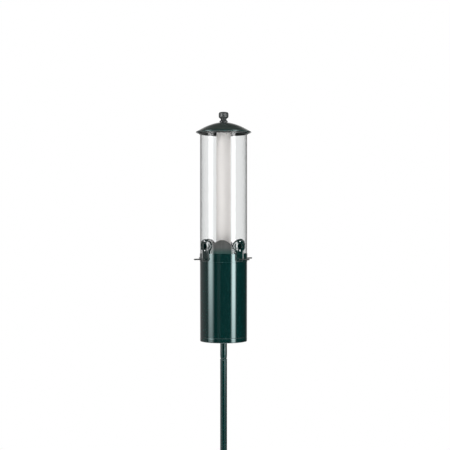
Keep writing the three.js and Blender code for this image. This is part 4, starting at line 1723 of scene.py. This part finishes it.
    def _perch(self, rim: Extent, tube: Extent, bearing: float) -> None:
        """A straight rod with a round end.

        Args:
            rim: the collar's box.
            tube: the seed tube's box.
            bearing: degrees from the front.
        """
        node = f"perch_{self.number}"
        perch = Extent.of(node)
        radius = float(perch.high[2] - perch.low[2]) / 2
        inner, tip = tube.radius - 8.7, rim.radius + self.perch_reach
        sweep = np.linspace(0, math.pi / 2, 9)[:-1]
        end = [(radius * math.cos(s), tip - radius * (1 - math.sin(s)), 0) for s in sweep]
        profile = [(0, inner, 0), (radius - 0.4, inner, 0), (radius, inner + 0.4, 0), *end, (0, tip, 0)]
        rod = facing_out(turned(profile, 40, longest=6.0), bearing, perch.bottom + radius)
        fit_out(node, [rod], BLACK_ROD)

    def _screws(self, rim: Extent, tube: Extent, bearing: float) -> None:
        """The two screws.

        Args:
            rim: the collar's box.
            tube: the seed tube's box.
            bearing: degrees from the front.
        """
        seat = rim.radius + self.relief + GAP
        length = seat - (tube.radius - self.tube_wall - GAP - self.hood_plate - 1)
        for name, height in zip(("lower", "upper"), self.screws):
            screw = pan_screw(self.shank, length, self.head, self.head_rise)
            fit_out(f"port_screw_{name}_{self.number}", [facing_out(screw, bearing, rim.top + height, seat)],
                    BRIGHT_STEEL)


# ---------------------------------------------------------------- lid
@dataclass(frozen=True)
class Roof:
    """Lid, the ring under it, its knob and the clip.

    Args:
        rise: height of the dome.
        bulge: power of the dome's curve.
        sheet: thickness of the lid.
        bead: radius of the rolled edge.
        flutes: how many flutes the knob has.
        flute: their depth.
    """

    rise: float = 32.0
    bulge: float = 1.8
    sheet: float = 1.0
    bead: float = 2.2
    flutes: int = 14
    flute: float = 0.7

    def build(self) -> None:
        """Builds the lid's four pieces."""
        lid, knob, under, clip = (Extent.of(node) for node in ("lid", "lid_knob", "lid_ring", "knob_clip"))
        edge = lid.bottom + 2.6 * self.bead
        self._dome(lid, edge)
        bore = under.radius - 2
        fit_out("lid_ring", [turned(ring(bore, under.radius, under.bottom, under.top, 0.6), 192)],
                BLACK_MOULDING)
        self._knob(knob, edge + self.rise)
        fit_out("knob_clip", [turned(ring(6.2, clip.radius, clip.bottom, clip.top, 0.25), 96)],
                BRIGHT_STEEL)

    def _dome(self, lid: Extent, edge: float) -> None:
        """z = edge + rise (1 - (r / R)^bulge), a shallow pressed ring, and a rolled edge of most of a circle.

        Args:
            lid: the lid's box.
            edge: height from which the dome rises.
        """
        whole, bead = lid.radius, self.bead
        radius = np.linspace(6.5, whole - bead, 40)[::-1]
        press = 0.7 * np.exp(-((radius - whole * 0.78) / 1.6) ** 2)
        top = edge + self.rise * (1 - (radius / whole) ** self.bulge) - press
        sweep = np.linspace(-math.pi, math.pi * 0.5, 22)
        roll = np.column_stack([whole - bead + bead * np.cos(sweep), top[0] - bead + bead * np.sin(sweep)])
        under = np.column_stack([radius[::-1], top[::-1] - self.sheet])
        under = under[under[:, 0] < whole - 2.3 * bead]
        profile = np.vstack([roll, np.column_stack([radius, top])[1:], under])
        fit_out("lid", [turned([(*point, 0) for point in profile], 256, longest=6.0)],
                GREEN_ENAMEL)

    def _knob(self, knob: Extent, apex: float) -> None:
        """A waisted knob with a fluted grip.

        Args:
            knob: the knob's box.
            apex: height of the lid's top.
        """
        bore, shank, base, top = ROD_BORE, 5.6, apex + GAP, knob.top
        grip, flange = knob.radius, 13.5
        bore_top = top - 14.5
        profile = [(0, bore_top, 0), (bore, bore_top, 0.3), (bore, knob.bottom, 0.3),
                   (shank, knob.bottom, 0.4), (shank, base, 0.3), (flange, base, 1.2),
                   (flange, base + 3, 1.2), (flange * 0.72, base + 6, 2.5), (flange * 0.66, base + 10, 3.0),
                   (grip * 0.93, top - 19, 2.5), (grip, top - 15, 2.5), (grip, top - 6, 3.5),
                   (grip * 0.88, top - 2, 2.5), (grip * 0.55, top - 0.4, 3.0), (0, top, 0)]

        def fluted(radius: np.ndarray, height: np.ndarray, angle: np.ndarray) -> np.ndarray:
            """-flute (1 + cos(flutes t)) / 2 on the grip, fading out above and below."""
            fade = smoothstep(top - 22, top - 17, height) * (1 - smoothstep(top - 6, top - 2, height))
            return -self.flute * fade * (1 + np.cos(self.flutes * angle)) / 2 * (radius > shank + 3)
        fit_out("lid_knob", [turned(profile, 168, longest=1.2, relief=fluted)],
                BLACK_MOULDING)


# ---------------------------------------------------------------- studio
@dataclass(frozen=True)
class Softbox:
    """A glowing panel, bent round the pole, that only the object sees.

    Args:
        name: its name.
        bearing: degrees from the front, seen from the pole.
        full: half of its width in degrees that glows fully.
        spread: half of its whole width in degrees; the glow fades out in between.
        glow: its radiance.
        dim: height in metres at which its lower end is dimmest.
        bright: height in metres from which it is fully bright.
        least: share of the glow left at its lower end.
        mirrored: whether glossy pieces show it.
        top: height in metres of its upper end.
        distance: metres from the pole's axis.
    """

    name: str
    bearing: float
    full: float
    spread: float
    glow: float
    dim: float
    bright: float
    least: float = 0.15
    mirrored: bool = True
    top: float = 2.7
    distance: float = 2.5

    def build(self) -> None:
        """A curved panel facing the pole."""
        half = math.radians(self.spread)
        angle = np.linspace(-half, half, 17)[None, :] + math.radians(self.bearing)
        height = np.linspace(0.05, self.top, 9)[:, None] / MM
        reach = self.distance / MM
        points = np.stack([reach * np.sin(angle) + 0 * height, -reach * np.cos(angle) + 0 * height,
                           height + 0 * angle], axis=-1)
        panel = make_object(self.name, [Surface(points, False, False)])
        panel.data.materials.append(self._material())
        for kind in ("camera", "transmission", "shadow"):
            setattr(panel, f"visible_{kind}", False)
        panel.visible_glossy = self.mirrored

    def _material(self) -> bpy.types.Material:
        """glow (least + (1 - least) step up) (1 - step out), out being the distance from its middle line.

        Returns:
            The material.
        """
        made = bpy.data.materials.new(f"{self.name}_glow")
        made.use_nodes = True
        graph = Graph(made.node_tree)
        own = graph.node("ShaderNodeTexCoord").outputs["Object"]
        turn = math.radians(self.bearing)
        off = Wire(graph, graph.node("ShaderNodeVectorMath", {"operation": "DOT_PRODUCT"}, {
            0: own, 1: (math.cos(turn), math.sin(turn), 0)}).outputs["Value"])
        aside = (off * off) ** 0.5
        edge = aside.step(self.distance * math.sin(math.radians(self.full)),
                          self.distance * math.sin(math.radians(self.spread)))
        rising = self.least + (1 - self.least) * graph.height().step(self.dim, self.bright)
        glow = graph.node("ShaderNodeEmission", None, {
            "Color": (1, 1, 1, 1), "Strength": self.glow * rising * (1 - edge)})
        graph.node("ShaderNodeOutputMaterial", None, {"Surface": glow.outputs[0]})
        return made


SOFTBOXES = (
    Softbox("softbox_left", bearing=-61.0, full=4.0, spread=21.0, glow=8.0, dim=0.45, bright=1.6),
    Softbox("softbox_right", bearing=53.0, full=4.0, spread=15.0, glow=9.5, dim=0.2, bright=1.15, least=0.1),
    Softbox("softbox_front", bearing=-19.0, full=3.0, spread=14.0, glow=0.17, dim=0.1, bright=1.1),
    Softbox("softbox_back", bearing=180.0, full=14.0, spread=26.0, glow=0.6, dim=0.1, bright=1.1),
    Softbox("softbox_fill", bearing=24.0, full=20.0, spread=40.0, glow=12.0, dim=0.1, bright=0.9, least=0.5,
            mirrored=False),
)


@dataclass(frozen=True)
class Studio:
    """Camera, softboxes, floor and surroundings.

    Args:
        azimuth: degrees that the camera stands to the right of the front.
        distance: metres from the pole's axis.
        above_rim: metres from the collar's rim up to the camera.
        aside: metres that the camera is moved to its right.
        lens: focal length.
        floor_depth: thickness of the floor in millimetres.
    """

    azimuth: float = 4.0
    distance: float = 3.565
    above_rim: float = 0.092
    aside: float = 0.0045
    lens: float = 88.0
    floor_depth: float = 12.0

    def build(self) -> None:
        """Builds the studio."""
        self._camera(Extent.of("collar").top * MM)
        self._floor()
        self._surroundings()
        for box in SOFTBOXES:
            box.build()
        bpy.context.scene.view_settings.view_transform = "Standard"

    def _camera(self, rim: float) -> None:
        """A level camera at the height of the seed tube.

        Args:
            rim: height of the collar's rim in metres.
        """
        turn = math.radians(self.azimuth)
        data = bpy.data.cameras.new("studio_camera")
        data.lens, data.sensor_width = self.lens, 36.0
        camera = bpy.data.objects.new("studio_camera", data)
        bpy.context.scene.collection.objects.link(camera)
        right, back = np.array([math.cos(turn), math.sin(turn)]), np.array([math.sin(turn), -math.cos(turn)])
        camera.location = (*(self.distance * back + self.aside * right), rim + self.above_rim)
        camera.rotation_euler = (math.pi / 2, 0, turn)
        bpy.context.scene.camera = camera

    def _floor(self, radius: float = 2600.0) -> None:
        """A round pale floor that pales into the surroundings at its edge.

        Args:
            radius: radius of the floor.
        """
        under = -self.floor_depth
        profile = [(0, under, 0), (radius, under, 0), (radius, 0, 0), (0, 0, 0)]
        floor = make_object("studio_floor", [turned(profile, 128, longest=200.0)])
        made = bpy.data.materials.new("pale_floor")
        made.use_nodes = True
        graph = Graph(made.node_tree)
        own = graph.node("ShaderNodeTexCoord").outputs["Object"]
        length = graph.node("ShaderNodeVectorMath", {"operation": "LENGTH"}, {0: own})
        reach = Wire(graph, length.outputs["Value"])
        grain = graph.noise(60.0, detail=4.0)
        shader = graph.node("ShaderNodeBsdfPrincipled", None, {
            "Base Color": graph.blend(grain, (0.8, 0.8, 0.8), (0.84, 0.84, 0.84)), "Roughness": 0.7})
        glow = graph.node("ShaderNodeEmission", None, {"Color": (1, 1, 1, 1), "Strength": 1.0})
        seen = Wire(graph, graph.node("ShaderNodeLightPath").outputs["Is Camera Ray"])
        share = reach.step(0.5, 2.2).most(seen * (0.45 + 0.55 * reach.step(0.1, 1.9)))
        mixed = graph.node("ShaderNodeMixShader", None, {
            0: share, 1: shader.outputs[0], 2: glow.outputs[0]})
        graph.node("ShaderNodeOutputMaterial", None, {"Surface": mixed.outputs[0]})
        floor.data.materials.append(made)

    def _surroundings(self) -> None:
        """White for what is seen directly; for reflections dark in front and light behind."""
        world = bpy.data.worlds.new("studio")
        world.use_nodes = True
        bpy.context.scene.world = world
        graph = Graph(world.node_tree)
        direction = graph.node("ShaderNodeTexCoord").outputs["Generated"]
        parts = graph.node("ShaderNodeSeparateXYZ", None, {0: direction}).outputs
        across, depth = Wire(graph, parts["X"]), Wire(graph, parts["Y"])
        path = graph.node("ShaderNodeLightPath").outputs
        bounced = (Wire(graph, path["Diffuse Depth"]) + Wire(graph, path["Glossy Depth"])).least(1.0)
        straight = Wire(graph, path["Is Transmission Ray"]) * (1 - bounced)
        seen = Wire(graph, path["Is Camera Ray"]).most(straight)
        leftward = (0 - across).step(-0.1, 0.9)
        around_it = 0.02 + 0.2 * leftward * depth.step(-0.6, 0.1) + 0.3 * depth.step(0.75, 1.0)
        strength = seen + (1 - seen) * around_it
        background = graph.node("ShaderNodeBackground", None, {"Color": (1, 1, 1, 1), "Strength": strength})
        graph.node("ShaderNodeOutputWorld", None, {"Surface": background.outputs[0]})


def main() -> None:
    """Builds the studio and every sub-assembly."""
    logging.basicConfig(level=logging.INFO, format="%(name)s %(message)s")
    stand = PoleStand()
    assemblies = [stand, Mounting(stand), Drum(), FeederBase(), SeedStore(),
                  *[FeedingPort(number) for number in range(1, 5)], Roof(), Studio()]
    for assembly in assemblies:
        LOG.info("building %s", type(assembly).__name__)
        assembly.build()
    bpy.context.view_layer.update()


if __name__ == "__main__":
    main()
